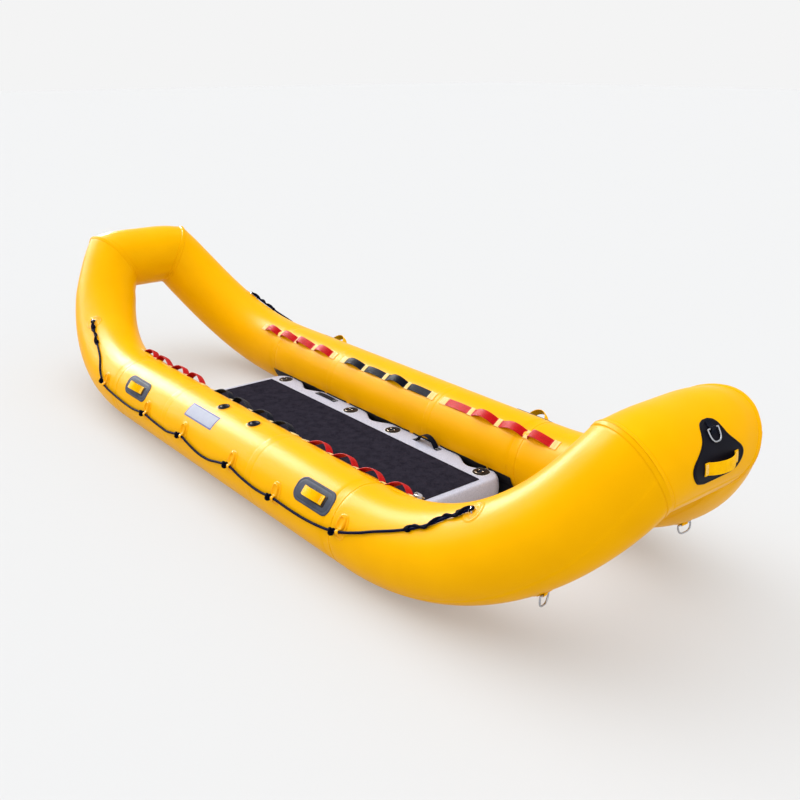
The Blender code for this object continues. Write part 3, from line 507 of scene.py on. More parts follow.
def dense(points, spacing):
    """The closed outline with its long straight stretches divided."""
    result = []
    for here, there in zip(points, points[1:] + points[:1]):
        count = max(1, int(math.dist(here, there) / spacing))
        for share in np.arange(count) / count:
            result.append([a * (1 - share) + b * share for a, b in zip(here, there)])
    return result


def oval(half_along, half_round=None, count=64, power=2.0):
    """A superellipse as offsets from its middle: power 2 is an ellipse, and more is squarer."""
    way = spokes((1.0, 0.0), (0.0, 1.0), count)
    return (half_along, half_round or half_along) * np.sign(way) * np.abs(way) ** (2 / power)


def rim_profile(height, bevel, rings, half):
    """A pad's profile: a rounded rim, then a flat top."""
    profile = [(0.0, height - bevel), (0.3 * bevel, height - 0.3 * bevel), (bevel, height)]
    flat = [(bevel + (half - bevel) * k / rings, height) for k in range(1, rings)]
    return profile + flat + [(half, height)]


def tube_rings(line, radius, sides):
    """Rings of a round tube along a line, without twist."""
    ways = unit(np.gradient(line, axis=0))
    side = square_to(ways[0])
    rings = []
    for point, way in zip(line, ways):
        side = unit(side - side @ way * way)
        rings.append(point + radius * spokes(side, np.cross(way, side), sides))
    return np.array(rings)


def strap_rings(line, wides, width, thickness, outs, curve=0.0):
    """Rings of a flat tape with soft edges along a line on its underside, whose width runs along wides."""
    line = np.asarray(line, float)
    edge = thickness * 0.3
    half = width / 2
    lower = [(-half, edge), (-half + edge, 0), (-half / 2, 0), (0, 0), (half / 2, 0), (half - edge, 0)]
    section = np.array(lower + [(-c, thickness - h) for c, h in lower])
    across, high = section[:, :1], section[:, 1:]
    wides, outs = (np.broadcast_to(ways, line.shape) for ways in (wides, outs))
    rings = []
    for point, way, wide, out in zip(line, unit(np.gradient(line, axis=0)), wides, outs):
        wide = unit(wide - wide @ way * way)
        normal = np.cross(way, wide)
        if normal @ out < 0:
            normal = -normal
        rings.append(point + across * wide + high * normal - curve * across**2 * out)
    return np.array(rings)


def tube_strap(parts, place, path, angle, width, thickness, curve=None):
    """A tape along the tube. The path is stations and heights of its underside."""
    stations, heights = np.array(path).T
    line = place(stations, angle, heights)
    if curve is None:
        curve = 0.5 / (tube_radius + heights.mean())
    parts.loft(strap_rings(line, round_way(place, stations, angle), width, thickness,
                           out_of(place, stations, angle), curve), lengths=marks_of(line))


thread_radius = 0.0009
stitch_pitch = 0.0055
stitch_half_share = 0.34
thread_sides = 5
# Shares of half a stitch from its middle, and lifts as shares of the thread's radius
stitch_shape = np.array(((-1, -0.4), (-0.7, 0.5), (0, 0.8), (0.7, 0.5), (1, -0.4)))


def stitch_row(parts, place, start, end, height):
    """A row of stitches from one place to another, each a small raised thread."""
    (s0, a0), (s1, a1) = start, end
    count = max(2, int(np.linalg.norm(place(s1, a1, height) - place(s0, a0, height)) / stitch_pitch))
    for k in range(count):
        share = (k + 0.5 + stitch_half_share * stitch_shape[:, 0]) / count
        lift = height + thread_radius * stitch_shape[:, 1]
        line = place(s0 + (s1 - s0) * share, a0 + (a1 - a0) * share, lift)
        parts.loft(tube_rings(line, thread_radius, thread_sides))


def stitch_across(parts, place, spot, angle, reach, height):
    stitch_row(parts, place, (spot, angle - reach), (spot, angle + reach), height)


# Tubes


def round_angles():
    """Angles round the tubes' skins, with more of them at the edges of the strips glued underneath."""
    angles = list(np.arange(sides_round) * 360 / sides_round - 180)
    for angle in (*strip_angles, cross_strip_high):
        angles = [a for a in angles if abs(a - angle) > strip_spread]
        angles += [angle - strip_step_angle, angle + strip_step_angle]
    return np.array(sorted(angles))


ANGLES = round_angles()
ROUNDS = np.radians(np.append(ANGLES, ANGLES[0] + 360)) * tube_radius
# Seams pucker most on a tube's inboard side.
PUCKERS = 0.25 + 0.75 * smoothstep((-np.cos(np.radians(ANGLES)) + 0.2) / 1.2)
RNG = np.random.default_rng(random_seed)


def ripples(high=26):
    """A ripple round the tube from several waves of unlike length."""
    turn = np.radians(ANGLES)
    total = np.zeros_like(turn)
    numbers = RNG.integers(7, high, 7)
    for number in numbers:
        total += RNG.uniform(0.4, 1.0) * np.sin(number * turn + RNG.uniform(0, 2 * math.pi))
    return total / math.sqrt(len(numbers))


def strip_height(low, high):
    """The height of a strip glued between these angles, with short sloping edges."""
    inside = np.minimum(ANGLES - low, high - ANGLES) / strip_step_angle
    return strip_rise * np.clip((inside + 1) / 2, 0, 1)


def seam_ring(side, end, share=corner_share):
    """The seam where a side tube meets a cross tube, and its plane's direction. The share is how far the
    outer corner reaches."""
    centre, along, across, up = (v[0] for v in tube_frames(side, np.array([end * tip_station])))
    along = along * end
    normal = unit(along + (0, -side, 0))
    turn = np.radians(ANGLES)[:, None]
    reach = skin_radius * (np.cos(turn) * across + np.sin(turn) * up)
    slides = -(reach @ normal) / (along @ normal)
    pull = 1 - (1 - share) * smoothstep(slides / slides.max())
    return centre + pull[:, None] * (reach + slides[:, None] * along), normal, centre


def tape_steps(half):
    """Distances from a seam that its tape's edges and folds need rings at."""
    edge = half + tape_step
    return [half / 2, half, edge, edge + tape_fold_reach, edge + 2 * tape_fold_reach]


def side_stations():
    """Stations of the side tube's rings, close together at the tapes' edges."""
    ends = np.arange(straight_half, tip_station - tip_clearance, end_step)
    stations = [*np.arange(-straight_half + straight_step, straight_half, straight_step), *ends, *-ends]
    for seam in seam_stations:
        stations = [s for s in stations if abs(s - seam) > tape_half + seam_clearance]
        for offset in (0, *tape_steps(tape_half)):
            stations += [seam - offset, seam + offset]
    nearest = tape_steps(mitre_tape)
    stations = [s for s in stations if abs(s) < tip_station - nearest[-1] - mitre_clearance]
    for offset in (0, *nearest):
        stations += [offset - tip_station, tip_station - offset]
    return np.array(sorted(set(round(float(s), 6) for s in stations)))


def tape_height(off, half):
    """The height of a tape glued over a seam, with the fold that its edge presses into the skin."""
    raised = tape_rise * np.clip((half + tape_step - off) / tape_step, 0, 1)
    fold = np.clip(1 - np.abs(off - half - tape_step - tape_fold_reach) / tape_fold_reach, 0, 1)
    return raised - tape_fold * fold


def side_tube(side_name, side):
    stations = side_stations()
    rows = np.repeat(stations[:, None], len(ANGLES), 1)
    relief = strip_height(*strip_angles)[None] * np.ones_like(rows)
    for seam, strength in zip(seam_stations, seam_strengths):
        off = np.abs(rows - seam)
        pinch = tape_height(off, tape_half) - seam_pinch * np.exp(-(off / seam_pinch_reach) ** 2)
        pucker = pucker_height * ripples()[None] * np.exp(-(off / pucker_reach) ** 2) * (off > tape_half)
        relief += strength * (pinch + pucker)
    for end in ENDS.values():
        off = tip_station - end * rows
        relief += tape_height(off, mitre_tape)
        pucker = mitre_pucker * (ripples(mitre_waves_below) * PUCKERS)[None]
        relief += pucker * np.exp(-(off / mitre_reach) ** 2)
    points = skin(side, rows, ANGLES[None], relief)
    for end in ENDS.values():
        seam, normal, _ = seam_ring(side, end)
        shift = seam - skin(side, end * tip_station, ANGLES, 0) - normal * seat_gap / 2
        rounding = seam_ring(side, end, corner_round_share)[0] - seam
        off = (tip_station - end * stations)[:, None, None]
        points += (smoothstep(1 - off / corner_blend) * shift
                   + smoothstep(1 - off / corner_round_reach) * rounding)
    points[..., 2] = np.maximum(points[..., 2], 0)
    Parts().loft(points, lengths=stations, rounds=ROUNDS).piece(
        f"skin_{side_name}", "yellow_fabric", "yellow_fabric", f"side_tube_{side_name}")


def cross_tube(end_name, end):
    starboard, normal, centre = seam_ring(-1, end)
    rounding = seam_ring(-1, end, corner_round_share)[0] - starboard
    starboard = starboard + normal * seat_gap / 2
    port = starboard * (1, -1, 1)
    middle = np.array([middle_x + end * tip_x, 0, tip_z])
    length = np.linalg.norm(port - starboard, axis=1)
    near = [0.0, *tape_steps(mitre_tape)]
    shares = [d / length for d in near]
    for u in np.arange(1, cross_rings) / cross_rings:
        shares.append(near[-1] / length * (1 - u) + 0.5 * u)
    shares = shares + [np.full_like(length, 0.5)] + [1 - s for s in shares[::-1]]
    ripple = [ripples(mitre_waves_below) for _ in range(2)]
    strip = strip_height(cross_strip_low, cross_strip_high)
    rings = []
    for share in shares:
        ring = starboard * (1 - share[:, None]) + port * share[:, None]
        reach = (ring - middle) * (1, 0, 1)
        nearest = np.minimum(share, 1 - share)
        fullness = smoothstep(nearest / cross_blend_share)
        ring = ring + reach * (fullness * (skin_radius / np.linalg.norm(reach, axis=1) - 1))[:, None]
        axis = middle + np.outer(1 - 2 * share, (0, centre[1], 0))
        outward = unit(ring - axis)
        off = nearest * length
        turned = np.where((share < 0.5)[:, None], rounding, rounding * (1, -1, 1))
        ring = ring + smoothstep(1 - off / corner_round_reach)[:, None] * turned
        pucker = ripple[0 if share.mean() < 0.5 else 1] * PUCKERS * np.exp(-(off / mitre_reach) ** 2)
        relief = tape_height(off, mitre_tape) + mitre_pucker * pucker + strip * smoothstep(off / strip_fade)
        rings.append(ring + outward * relief[:, None])
    Parts().loft(rings, rounds=ROUNDS).piece(
        f"skin_{end_name}", "yellow_fabric", "yellow_fabric", f"cross_tube_{end_name}")


# Lifelines

rope_radius = 0.0055
rope_pitch = 0.005
rope_sides = 14
rope_height = rope_radius + 0.0012
rope_ends_at = 0.009
rope_fine_steps = 1600
braid_pitch = 0.03
braid_strands = 4
braid_depth = 0.05
braid_mean = 0.6
patch_thickness = 0.003
lug_clearance = 0.001
# Each place is a share of straight_half, an angle in degrees and a share of the lift to the patch's lug.
rope_route_shares = (
    (-1.641, 55, 1), (-1.53, 52.5, 0.4), (-1.423, 50, 0), (-1.286, 41, 0), (-1.19, 23, 0.4),
    (-1.108, 11, 1), (-1.01, 6, 0.4), (-0.88, 2.5, 0), (-0.754, 1.6, 0), (-0.66, 5, 0.4),
    (-0.583, 7.5, 1), (-0.5, 4.5, 0.4), (-0.4, 2.4, 0), (-0.344, 2.2, 0), (-0.26, 7, 0.4),
    (-0.185, 10.3, 1), (-0.11, 5, 0.4), (-0.024, 0.4, 0), (0.074, 1, 0), (0.18, 8, 0.4),
    (0.273, 12.5, 1), (0.37, 7.5, 0.4), (0.46, 4.6, 0), (0.53, 4.6, 0.2),
    (0.638, 8.3, 1), (0.74, 7.4, 0.4), (0.82, 7.2, 0), (0.894, 8.4, 0), (0.99, 12, 0.4),
    (1.083, 18, 1), (1.19, 28, 0.3), (1.286, 37, 0), (1.496, 49.6, 0), (1.608, 58.6, 0.4), (1.713, 60.5, 1),
)
patch_route_points = (5, 10, 15, 20, 24, 29)
# The route's own points, as station, angle and height over the tube
ROUTE = np.array([(share * straight_half, angle, rope_height + (patch_thickness + lug_clearance) * lift)
                  for share, angle, lift in rope_route_shares])
knot_size = 0.0128
knot_wire = 0.0055
knot_offset = 0.031
knot_lift = 0.005
splice_stretches = {"bow": 0.3, "stern": 0.22}
splice_pitch = 0.13
splice_start = 0.4
splice_radius_share = 0.92
splice_sideways_share = 1.75
splice_lift_share = 1.9
splice_ease_reach = 0.04
splice_taper_reach = 0.03
bight_length = 0.016
bight_half_width = 0.0085
bight_lift = 0.002
bight_radius_share = 0.95
whipping_wire = 0.0018
whipping_pitch = 0.0034
whipping_steps = 20
whipping_half = (0.0115, 0.0075)
whipping_lift = 0.0025
# Each whipping's distance from its end of the splice, and its turns
whippings = ((0.045, 5), (0.035, 4))


def rope_spot(place):
    """A place on the smooth curve through the route's points, by Catmull and Rom's rule."""
    index = min(int(place), len(ROUTE) - 2)
    share = place - index
    before, here, there = ROUTE[max(index - 1, 0)], ROUTE[index], ROUTE[index + 1]
    after = ROUTE[min(index + 2, len(ROUTE) - 1)]
    return (here + 0.5 * share * (there - before
            + share * (2 * before - 5 * here + 4 * there - after
                       + share * (3 * (here - there) + after - before))))


def rope_line(side):
    """The lifeline's centre, a point each rope_pitch, with its length, and its place on the tube, at each."""
    spots = np.array([rope_spot(p) for p in np.linspace(0, len(ROUTE) - 1, rope_fine_steps)])
    spots = spots[(spots[:, 0] > ROUTE[0][0] + rope_ends_at) & (spots[:, 0] < ROUTE[-1][0] - rope_ends_at)]
    points = skin(side, *spots.T)
    lengths = marks_of(points)
    marks = np.linspace(0, lengths[-1], int(lengths[-1] / rope_pitch) + 1)
    return columns_at(marks, lengths, points), marks, columns_at(marks, lengths, spots)


def braid_rings(line, marks, radius):
    """Rings of a braided rope: two sets of strands that wind opposite ways lift its surface in turn."""
    rings = tube_rings(line, 1.0, rope_sides)
    centre = rings.mean(1, keepdims=True)
    turns = braid_strands * np.arange(rope_sides)[None] * 2 * math.pi / rope_sides
    wind = marks[:, None] * 2 * math.pi / braid_pitch
    relief = np.maximum(np.cos(turns + wind), np.cos(turns - wind))
    return centre + (rings - centre) * (radius * (1 + braid_depth * (relief - braid_mean)))[..., None]


def knot_rings(middle, axis):
    """An overhand knot with the rope's axis through its middle."""
    side = square_to(axis)
    t = np.arange(60)[:, None] * 2 * math.pi / 60
    line = middle + knot_size / 3 * ((np.sin(t) + 2 * np.sin(2 * t)) * side
                                     + (np.cos(t) - 2 * np.cos(2 * t)) * np.cross(axis, side)
                                     - 1.2 * np.sin(3 * t) * axis)
    rings = []
    for point, way in zip(line, unit(np.roll(line, -1, 0) - np.roll(line, 1, 0))):
        across = unit(np.cross(way, point - middle + 1e-6 * axis))
        rings.append(point + knot_wire * spokes(across, np.cross(across, way), 8))
    return rings


def lifeline(side_name, side):
    line, marks, where = rope_line(side)
    rope = Parts().loft(braid_rings(line, marks, rope_radius), lengths=marks).piece(
        f"rope_{side_name}", "rope", "rope_black", f"lifeline_{side_name}", sharp=math.pi)
    on_it = [rope_knots(side_name, side, line, where)]
    for end, stretch in splice_stretches.items():
        on_it.append(rope_splice(side_name, side, end, line, marks, where, stretch))


def rope_knots(side_name, side, line, where):
    parts = Parts()
    for index in patch_route_points:
        nearest = int(np.argmin(np.abs(where[:, 0] - (ROUTE[index][0] - knot_offset))))
        out = unit(skin(side, *where[nearest][:2], 1) - line[nearest])
        parts.loft(knot_rings(line[nearest] + knot_lift * out, unit(line[nearest + 1] - line[nearest - 1])),
                   closed=True)
    return parts.piece(f"rope_knots_{side_name}", "rope_dark", "rope_black", sharp=math.pi)


def rope_splice(side_name, side, end, line, marks, where, stretch):
    """The rope's own end, turned back through the eye and wound along the standing part."""
    place = partial(skin, side)
    from_end = marks if end == "stern" else marks[-1] - marks
    picked = np.where(from_end < stretch)[0][::-ENDS[end]]
    far = from_end[picked]
    station, angle, height = where[picked].T
    turn = 2 * math.pi * far / splice_pitch + splice_start
    ease = smoothstep((stretch - far) / splice_ease_reach)
    sideways = splice_sideways_share * rope_radius * np.cos(turn) * (0.6 + 0.4 * ease)
    lift = splice_lift_share * rope_radius * np.abs(np.sin(turn)) * ease
    strand = place(station, angle + degrees_of(sideways), height + lift)
    taper = 0.35 + 0.65 * smoothstep((stretch - far) / splice_taper_reach)
    lengths = marks_of(strand)
    radius = rope_radius * splice_radius_share * taper[:, None]
    parts = Parts().loft(braid_rings(strand, lengths, radius), lengths=lengths)
    # The bight that goes through the eye
    middle = line[picked[0]]
    away = unit(middle - line[picked[3]])
    out = out_of(place, *where[picked[0]][:2])
    turn = math.pi * (np.arange(25)[:, None] / 24 - 0.5)
    bight = (middle + bight_length * np.cos(turn) * away
             + bight_half_width * np.sin(turn) * np.cross(away, out) + bight_lift * out)
    parts.loft(tube_rings(bight, rope_radius * bight_radius_share, rope_sides))
    # Two whippings of thin line round both strands
    for number, (spot, turns) in enumerate(whippings):
        index = picked[int(np.argmin(np.abs(far - (stretch - spot if number else spot))))]
        axis = unit(line[index + 1] - line[index - 1])
        up = out_of(place, *where[index][:2])
        share = np.arange(turns * whipping_steps + 1)[:, None] / whipping_steps
        turn = 2 * math.pi * share
        coil = (line[index] + (share - turns / 2) * whipping_pitch * axis
                + whipping_half[0] * np.cos(turn) * np.cross(axis, up)
                + (whipping_half[1] * np.sin(turn) + whipping_lift) * up)
        parts.loft(tube_rings(coil, whipping_wire, 8))
    return parts.piece(f"rope_splice_{side_name}_{end}", "rope_dark", "rope_black", sharp=math.pi)


# Lifeline patches and eyes

patch_half = (0.034, 0.052)
patch_rise_share = 0.3
patch_profile = (
    (0.0, 0.001), (0.0008, 0.0022), (0.003, 0.0026), (0.004, 0.0038), (0.006, 0.0042), (0.0085, 0.0038),
    (0.0095, 0.0024), (0.013, 0.0024), (0.0145, 0.0034), (0.018, 0.004), (0.024, 0.0042), (0.033, 0.0042))
boss_half = (0.022, 0.029)
boss_shift = 0.006
boss_low = 0.001
boss_profile = ((0.0, 0.002), (0.0008, 0.0065), (0.0022, 0.0098), (0.004, 0.0115), (0.006, 0.0115),
                (0.008, 0.0075), (0.011, 0.0056), (0.021, 0.0056))
# The bridge's section, as distances along the rope and out from its clearance
bridge_section = ((-0.0075, 0.0032), (-0.0088, 0.0016), (-0.0082, 0.0002), (-0.004, 0.0), (0.004, 0.0),
                  (0.0082, 0.0002), (0.0088, 0.0016), (0.0075, 0.0032), (0.0045, 0.0038), (0.0, 0.004),
                  (-0.0045, 0.0038))
eye_patch_radius = 0.05
eye_patch_profile = (
    (0.0, 0.0005), (0.0006, 0.001), (0.004, 0.0012), (0.005, 0.0022), (0.007, 0.0026), (0.009, 0.0022),
    (0.010, 0.0013), (0.015, 0.0013), (0.016, 0.0022), (0.018, 0.0027), (0.020, 0.0022), (0.021, 0.0015),
    (0.026, 0.0015), (0.028, 0.0026), (0.032, 0.0032), (0.04, 0.0034), (0.045, 0.0034))
eye_radius = 0.014
eye_wire = 0.0025
eye_stretch = 1.05


def lifeline_patches(side_name, side):
    """Yellow mouldings, each with a raised bridge that the rope runs under."""
    place = partial(skin, side)
    for number, index in enumerate(patch_route_points, 1):
        station, angle, _ = ROUTE[index]
        centre_angle = angle + (0.5 - patch_rise_share) * degrees_of(2 * patch_half[1])
        parts = Parts().pad(place, station, centre_angle, oval(*patch_half, power=2.5), patch_profile)
        parts.pad(place, station, angle + degrees_of(boss_half[1] + boss_shift), oval(*boss_half, 40, 3.0),
                  boss_profile, -boss_low)
        bridge(parts, place, index)
        parts.piece(f"rope_patch_{side_name}_{number}", "yellow_moulding", "yellow_fabric",
                    f"lifeline_patch_{side_name}_{number}")


def bridge(parts, place, index):
    """A short tunnel round the rope, flared where it joins the patch."""
    axis = unit(place(*rope_spot(index + 0.08)) - place(*rope_spot(index - 0.08)))
    out = out_of(place, *ROUTE[index][:2])
    out = unit(out - out @ axis * axis)
    ring = spokes(out, np.cross(axis, out), 28)
    parts.loft([place(*ROUTE[index]) + along * axis + (rope_radius + lug_clearance + reach) * ring
                for along, reach in bridge_section], closed=True)


def lifeline_eyes(side_name, side):
    """A round moulding with concentric ridges and a steel eye, at each end of the lifeline."""
    place = partial(skin, side)
    for end, index in (("stern", 0), ("bow", -1)):
        station, angle, _ = ROUTE[index]
        Parts().pad(place, station, angle, oval(eye_patch_radius), eye_patch_profile).piece(
            f"eye_patch_{side_name}_{end}", "yellow_moulding", "yellow_fabric",
            f"lifeline_eye_{side_name}_{end}")
        t = np.linspace(0, math.pi, 25)[:, None]
        line = place(station, angle, 0.001) + eye_radius * (
            np.cos(t) * round_way(place, station, angle)
            + eye_stretch * np.sin(t) * out_of(place, station, angle))
        Parts().loft(tube_rings(line, eye_wire, 12)).piece(
            f"eye_{side_name}_{end}", "steel", "stainless_steel")


# Webbing loop rows

loop_count = 4
loop_pitch = 0.185
loop_tab = 0.045
loop_width = 0.043
loop_rise = 0.032
loop_strap_thickness = 0.0025
loop_end = 0.03
loop_angle = 123.75
loop_row_shift = 0.01
loop_row_gaps = {"stern": 0.06, "bow": 0.05}
loop_rise_shares = {
    "starboard": {"stern": (1, 1, 1, 1), "middle": (0.9, 1, 1, 0.9), "bow": (0.95, 1, 1, 1)},
    "port": {"stern": (1, 1, 1, 1), "middle": (0.75, 0.3, 1, 0.2), "bow": (0, 1, 1, 1)},
}
arch_steps = 28
loop_base_width = 0.054
loop_base_corner = 0.008
loop_base_rise = 0.0012
loop_base_top = loop_base_rise + 0.0002
loop_base_profile = ((0.0, 0.0006), (0.0006, loop_base_rise), (0.01, loop_base_top), (0.02, loop_base_top),
                     (0.026, loop_base_top))
loop_low = loop_base_rise + 0.0004
loop_tab_length = 0.036
loop_tab_thickness = 0.0016
loop_tab_grow = 1.6
loop_tuck = 0.012
loop_slack = 0.95
loop_flat_rise = 0.0035
loop_lean = 0.9
loop_arch_power = 0.8
loop_foot_gap = 0.002
loop_stitch_offset = 0.007
loop_stitch_margin = 0.004
loop_edge_margin = 0.006
loop_tab_step = 0.004
loop_tab_dip = 0.0006
stitch_sink = 0.0004


def loop_row_middle(end):
    if end == "middle":
        return loop_row_shift
    return loop_row_shift + ENDS[end] * (loop_count * loop_pitch + 2 * loop_end + loop_row_gaps[end])


def flat_stretch(start, end, height):
    return [(s, height) for s in np.linspace(start, end, 4)]


def loop_rows():
    for side_name, side in SIDES.items():
        for end, rises in loop_rise_shares[side_name].items():
            loop_row(f"{side_name}_{end}", partial(skin, side), loop_row_middle(end), rises,
                     "black_webbing" if end == "middle" else "red_webbing")


def loop_row(name, place, middle, rises, look):
    """A row of webbing loops on a fabric base, each loop's feet held under pale stitched tabs."""
    half = loop_count * loop_pitch / 2
    outline = rounded_box(half + loop_end, loop_base_width / 2, loop_base_corner, 4)
    Parts().pad(place, middle, loop_angle, outline, loop_base_profile).piece(
        f"loop_base_{name}", "yellow_fabric", "yellow_fabric")
    straps, tabs, threads = Parts(), Parts(), Parts()
    for number, share in enumerate(rises):
        start = middle - half + number * loop_pitch + loop_tab / 2
        span = loop_pitch - loop_tab
        lean = loop_lean * (1 + RNG.uniform(-0.5, 0.5))
        rise = max(loop_rise * loop_slack * share * (1 + RNG.uniform(-0.06, 0.06)), loop_flat_rise)
        path = flat_stretch(start - loop_tuck, start - loop_foot_gap, loop_low)
        for part in np.arange(1, arch_steps) / arch_steps:
            lift = rise * math.sin(math.pi * part**lean) ** loop_arch_power
            path.append((start + span * part, loop_low + lift))
        path += flat_stretch(start + span + loop_foot_gap, start + span + loop_tuck, loop_low)
        tube_strap(straps, place, path, loop_angle, loop_width, loop_strap_thickness)
    straps.piece(f"loop_row_{name}", look, look, f"loops_{name}")
    top = loop_low + loop_strap_thickness
    side_reach = degrees_of(loop_width / 2 - loop_stitch_margin)
    ramp = ((loop_tab_length / 2, loop_low), (loop_tab_length / 2 - loop_tab_step, loop_low + loop_tab_dip),
            (loop_tab_length / 2 - 2 * loop_tab_step, top))
    flat = loop_tab_length / 2 - 3 * loop_tab_step
    for number in range(loop_count + 1):
        spot = middle - half + number * loop_pitch
        outer = {0: -1, loop_count: 1}.get(number, 0)
        path = [*((-s, h) for s, h in ramp), *flat_stretch(-flat, flat, top), *ramp[::-1]]
        # An outer tab lies flat beyond the last loop and reaches further.
        path = [(spot + (s * loop_tab_grow if s * outer > 0 else s),
                 loop_low if outer and s * outer >= 0 else h) for s, h in path]
        tube_strap(tabs, place, path, loop_angle, loop_width + 0.003, loop_tab_thickness)
        for offset in (-loop_stitch_offset, loop_stitch_offset):
            stitch_across(threads, place, spot + offset, loop_angle, side_reach,
                          top + loop_tab_thickness - stitch_sink)
    for way in (-1, 1):
        stitch_across(threads, place, middle + way * (half + loop_end - loop_edge_margin), loop_angle,
                      degrees_of(loop_base_width / 2 - loop_edge_margin), loop_base_rise)
    tabs.piece(f"loop_tabs_{name}", "tab_cream", look)
    threads.piece(f"loop_stitches_{name}", "thread_pale", look)


# Grab handles

grab_patch_half = (0.125, 0.0535)
grab_patch_corner = 0.04
grab_patch_profile = (
    (0.0, 0.0012), (0.0008, 0.0024), (0.002, 0.0032), (0.008, 0.0034), (0.0095, 0.0026), (0.012, 0.0022),
    (0.0135, 0.003), (0.018, 0.0032), (0.025, 0.0032), (0.033, 0.003), (0.04, 0.003), (0.045, 0.003))
# A dark pad under each grab strap, shifted to reach past the strap's bow end: painted shadow of the gap
# beneath the strap.
grab_shadow_pad_half = (0.05, 0.025)
grab_shadow_pad_shift = 0.034
grab_shadow_pad_corner = 0.008
grab_shadow_pad_low = 0.002
grab_shadow_pad_profile = ((0.0, 0.0036), (0.0006, 0.0042), (0.006, 0.0044), (0.015, 0.0044), (0.025, 0.0044))
grab_handle = {"length": 0.138, "width": 0.04, "thickness": 0.003, "foot": 0.024, "low": 0.0046, "rise": 0.04,
               "power": 0.5, "insets": (0.004, 0.017), "margin": 0.005, "stitch_height": 0.0074}
grab_place_shares = {"stern": (-0.755, 37.5), "bow": (0.868, 40)}
arch_power = 0.62


def arch_path(length, foot, rise, power):
    """Distances along a strap from its middle, and heights: flat feet with an arch between them."""
    half = length / 2
    path = [(-half, 0.0), (-half + foot / 2, 0.0), (-half + foot - 0.003, 0.0)]
    for share in np.arange(1, arch_steps) / arch_steps:
        path.append(((half - foot) * (2 * share - 1), rise * math.sin(math.pi * share) ** power))
    return np.array(path + [(-along, height) for along, height in path[2::-1]])


def handle(names, looks, place, middle, angle, stands_for=None, curve=None, *, length, width, thickness, foot,
           low, rise, insets, margin, stitch_height, power=arch_power):
    """A webbing handle and the stitches in its feet, as two pieces with these names and looks."""
    strap, threads = Parts(), Parts()
    path = arch_path(length, foot, rise, power) + (middle, low)
    tube_strap(strap, place, path, angle, width, thickness, curve)
    strap.piece(names[0], looks[0], looks[0], stands_for)
    for way in (-1, 1):
        for inset in insets:
            stitch_across(threads, place, middle + way * (length / 2 - inset), angle,
                          degrees_of(width / 2 - margin), stitch_height)
    threads.piece(names[1], looks[1], looks[0])


def grab_handles():
    for side_name, side in SIDES.items():
        place = partial(skin, side)
        for end, (share, angle) in grab_place_shares.items():
            tail = f"{side_name}_{end}"
            station = share * straight_half
            Parts().pad(place, station, angle, rounded_box(*grab_patch_half, grab_patch_corner),
                        grab_patch_profile).piece(
                            f"grab_patch_{tail}", "grip_grey", "grip_grey", f"grab_handle_{tail}")
            # The dark pad under the strap is painted shadow in the gap beneath its bow end.
            outline = rounded_box(*grab_shadow_pad_half, grab_shadow_pad_corner, 4)
            Parts().pad(place, station + grab_shadow_pad_shift, angle, outline, grab_shadow_pad_profile,
                        -grab_shadow_pad_low).piece(f"grab_shadow_pad_{tail}", "dark_rubber", "grip_grey")
            handle((f"grab_strap_{tail}", f"grab_stitches_{tail}"), ("yellow_webbing", "thread_pale"),
                   place, station, angle, **grab_handle)


# Valves and bare label

valve_radius = 0.03
valve_height = 0.004
valve_low = 0.0016
valve_depth = 0.02
valve_bore = 0.019
collar_radius = 0.038
cap_radius = 0.021
valve_angle = 86
valve_place_shares = {"stern": -0.063, "bow": 0.212}
# Radius and height from axis to axis
valve_seat_profile = (
    (0, -valve_depth), (valve_bore, -valve_depth), (valve_bore, valve_low - 0.0006),
    (valve_radius - 0.001, valve_low), (valve_radius, valve_low + 0.001),
    (valve_radius - 0.0004, valve_height - 0.0006), (valve_radius - 0.0016, valve_height + 0.0004),
    (cap_radius + 0.002, valve_height + 0.0008), (cap_radius + 0.0008, valve_height),
    (cap_radius + 0.0006, 0.0018), (0, 0.0018))
valve_lid_profile = (
    (0, 0.0021), (cap_radius - 0.0008, 0.0021), (cap_radius, 0.003), (cap_radius, valve_height),
    (cap_radius - 0.001, valve_height + 0.0012), (cap_radius - 0.004, valve_height + 0.0016),
    (cap_radius - 0.005, valve_height + 0.001), (cap_radius * 0.6, valve_height + 0.0022),
    (0.004, valve_height + 0.0032), (0, valve_height + 0.0033))
valve_grip_half = 0.0145
valve_grip_half_width = 0.0024
valve_grip_rise = 0.0065
valve_grip_embed = 0.001
collar_rim = (0.0013, 0.0005, 5, 0.037)
label_half = (0.1325, 0.038)
label_place_share = -0.109
label_angle = 53
# Each layer's look, inset, corner, rim and node
label_layers = {
    "label": ("label_border", 0.0, 0.004, (0.0008, 0.0003, 8, 0.037), "label_panel"),
    "label_face": ("label", 0.007, 0.003, (0.0012, 0.0002, 8, 0.032), None),
}


def lathe(middle, axis, profile, sides=56):
    """A closed solid turned round an axis. The profile starts and ends on the axis."""
    side = square_to(axis)
    ring = spokes(side, np.cross(axis, side), sides)
    rings = [middle + axis * height + radius * ring for radius, height in profile[1:-1]]
    return Parts().disc(rings, middle + axis * profile[-1][1], middle + axis * profile[0][1])


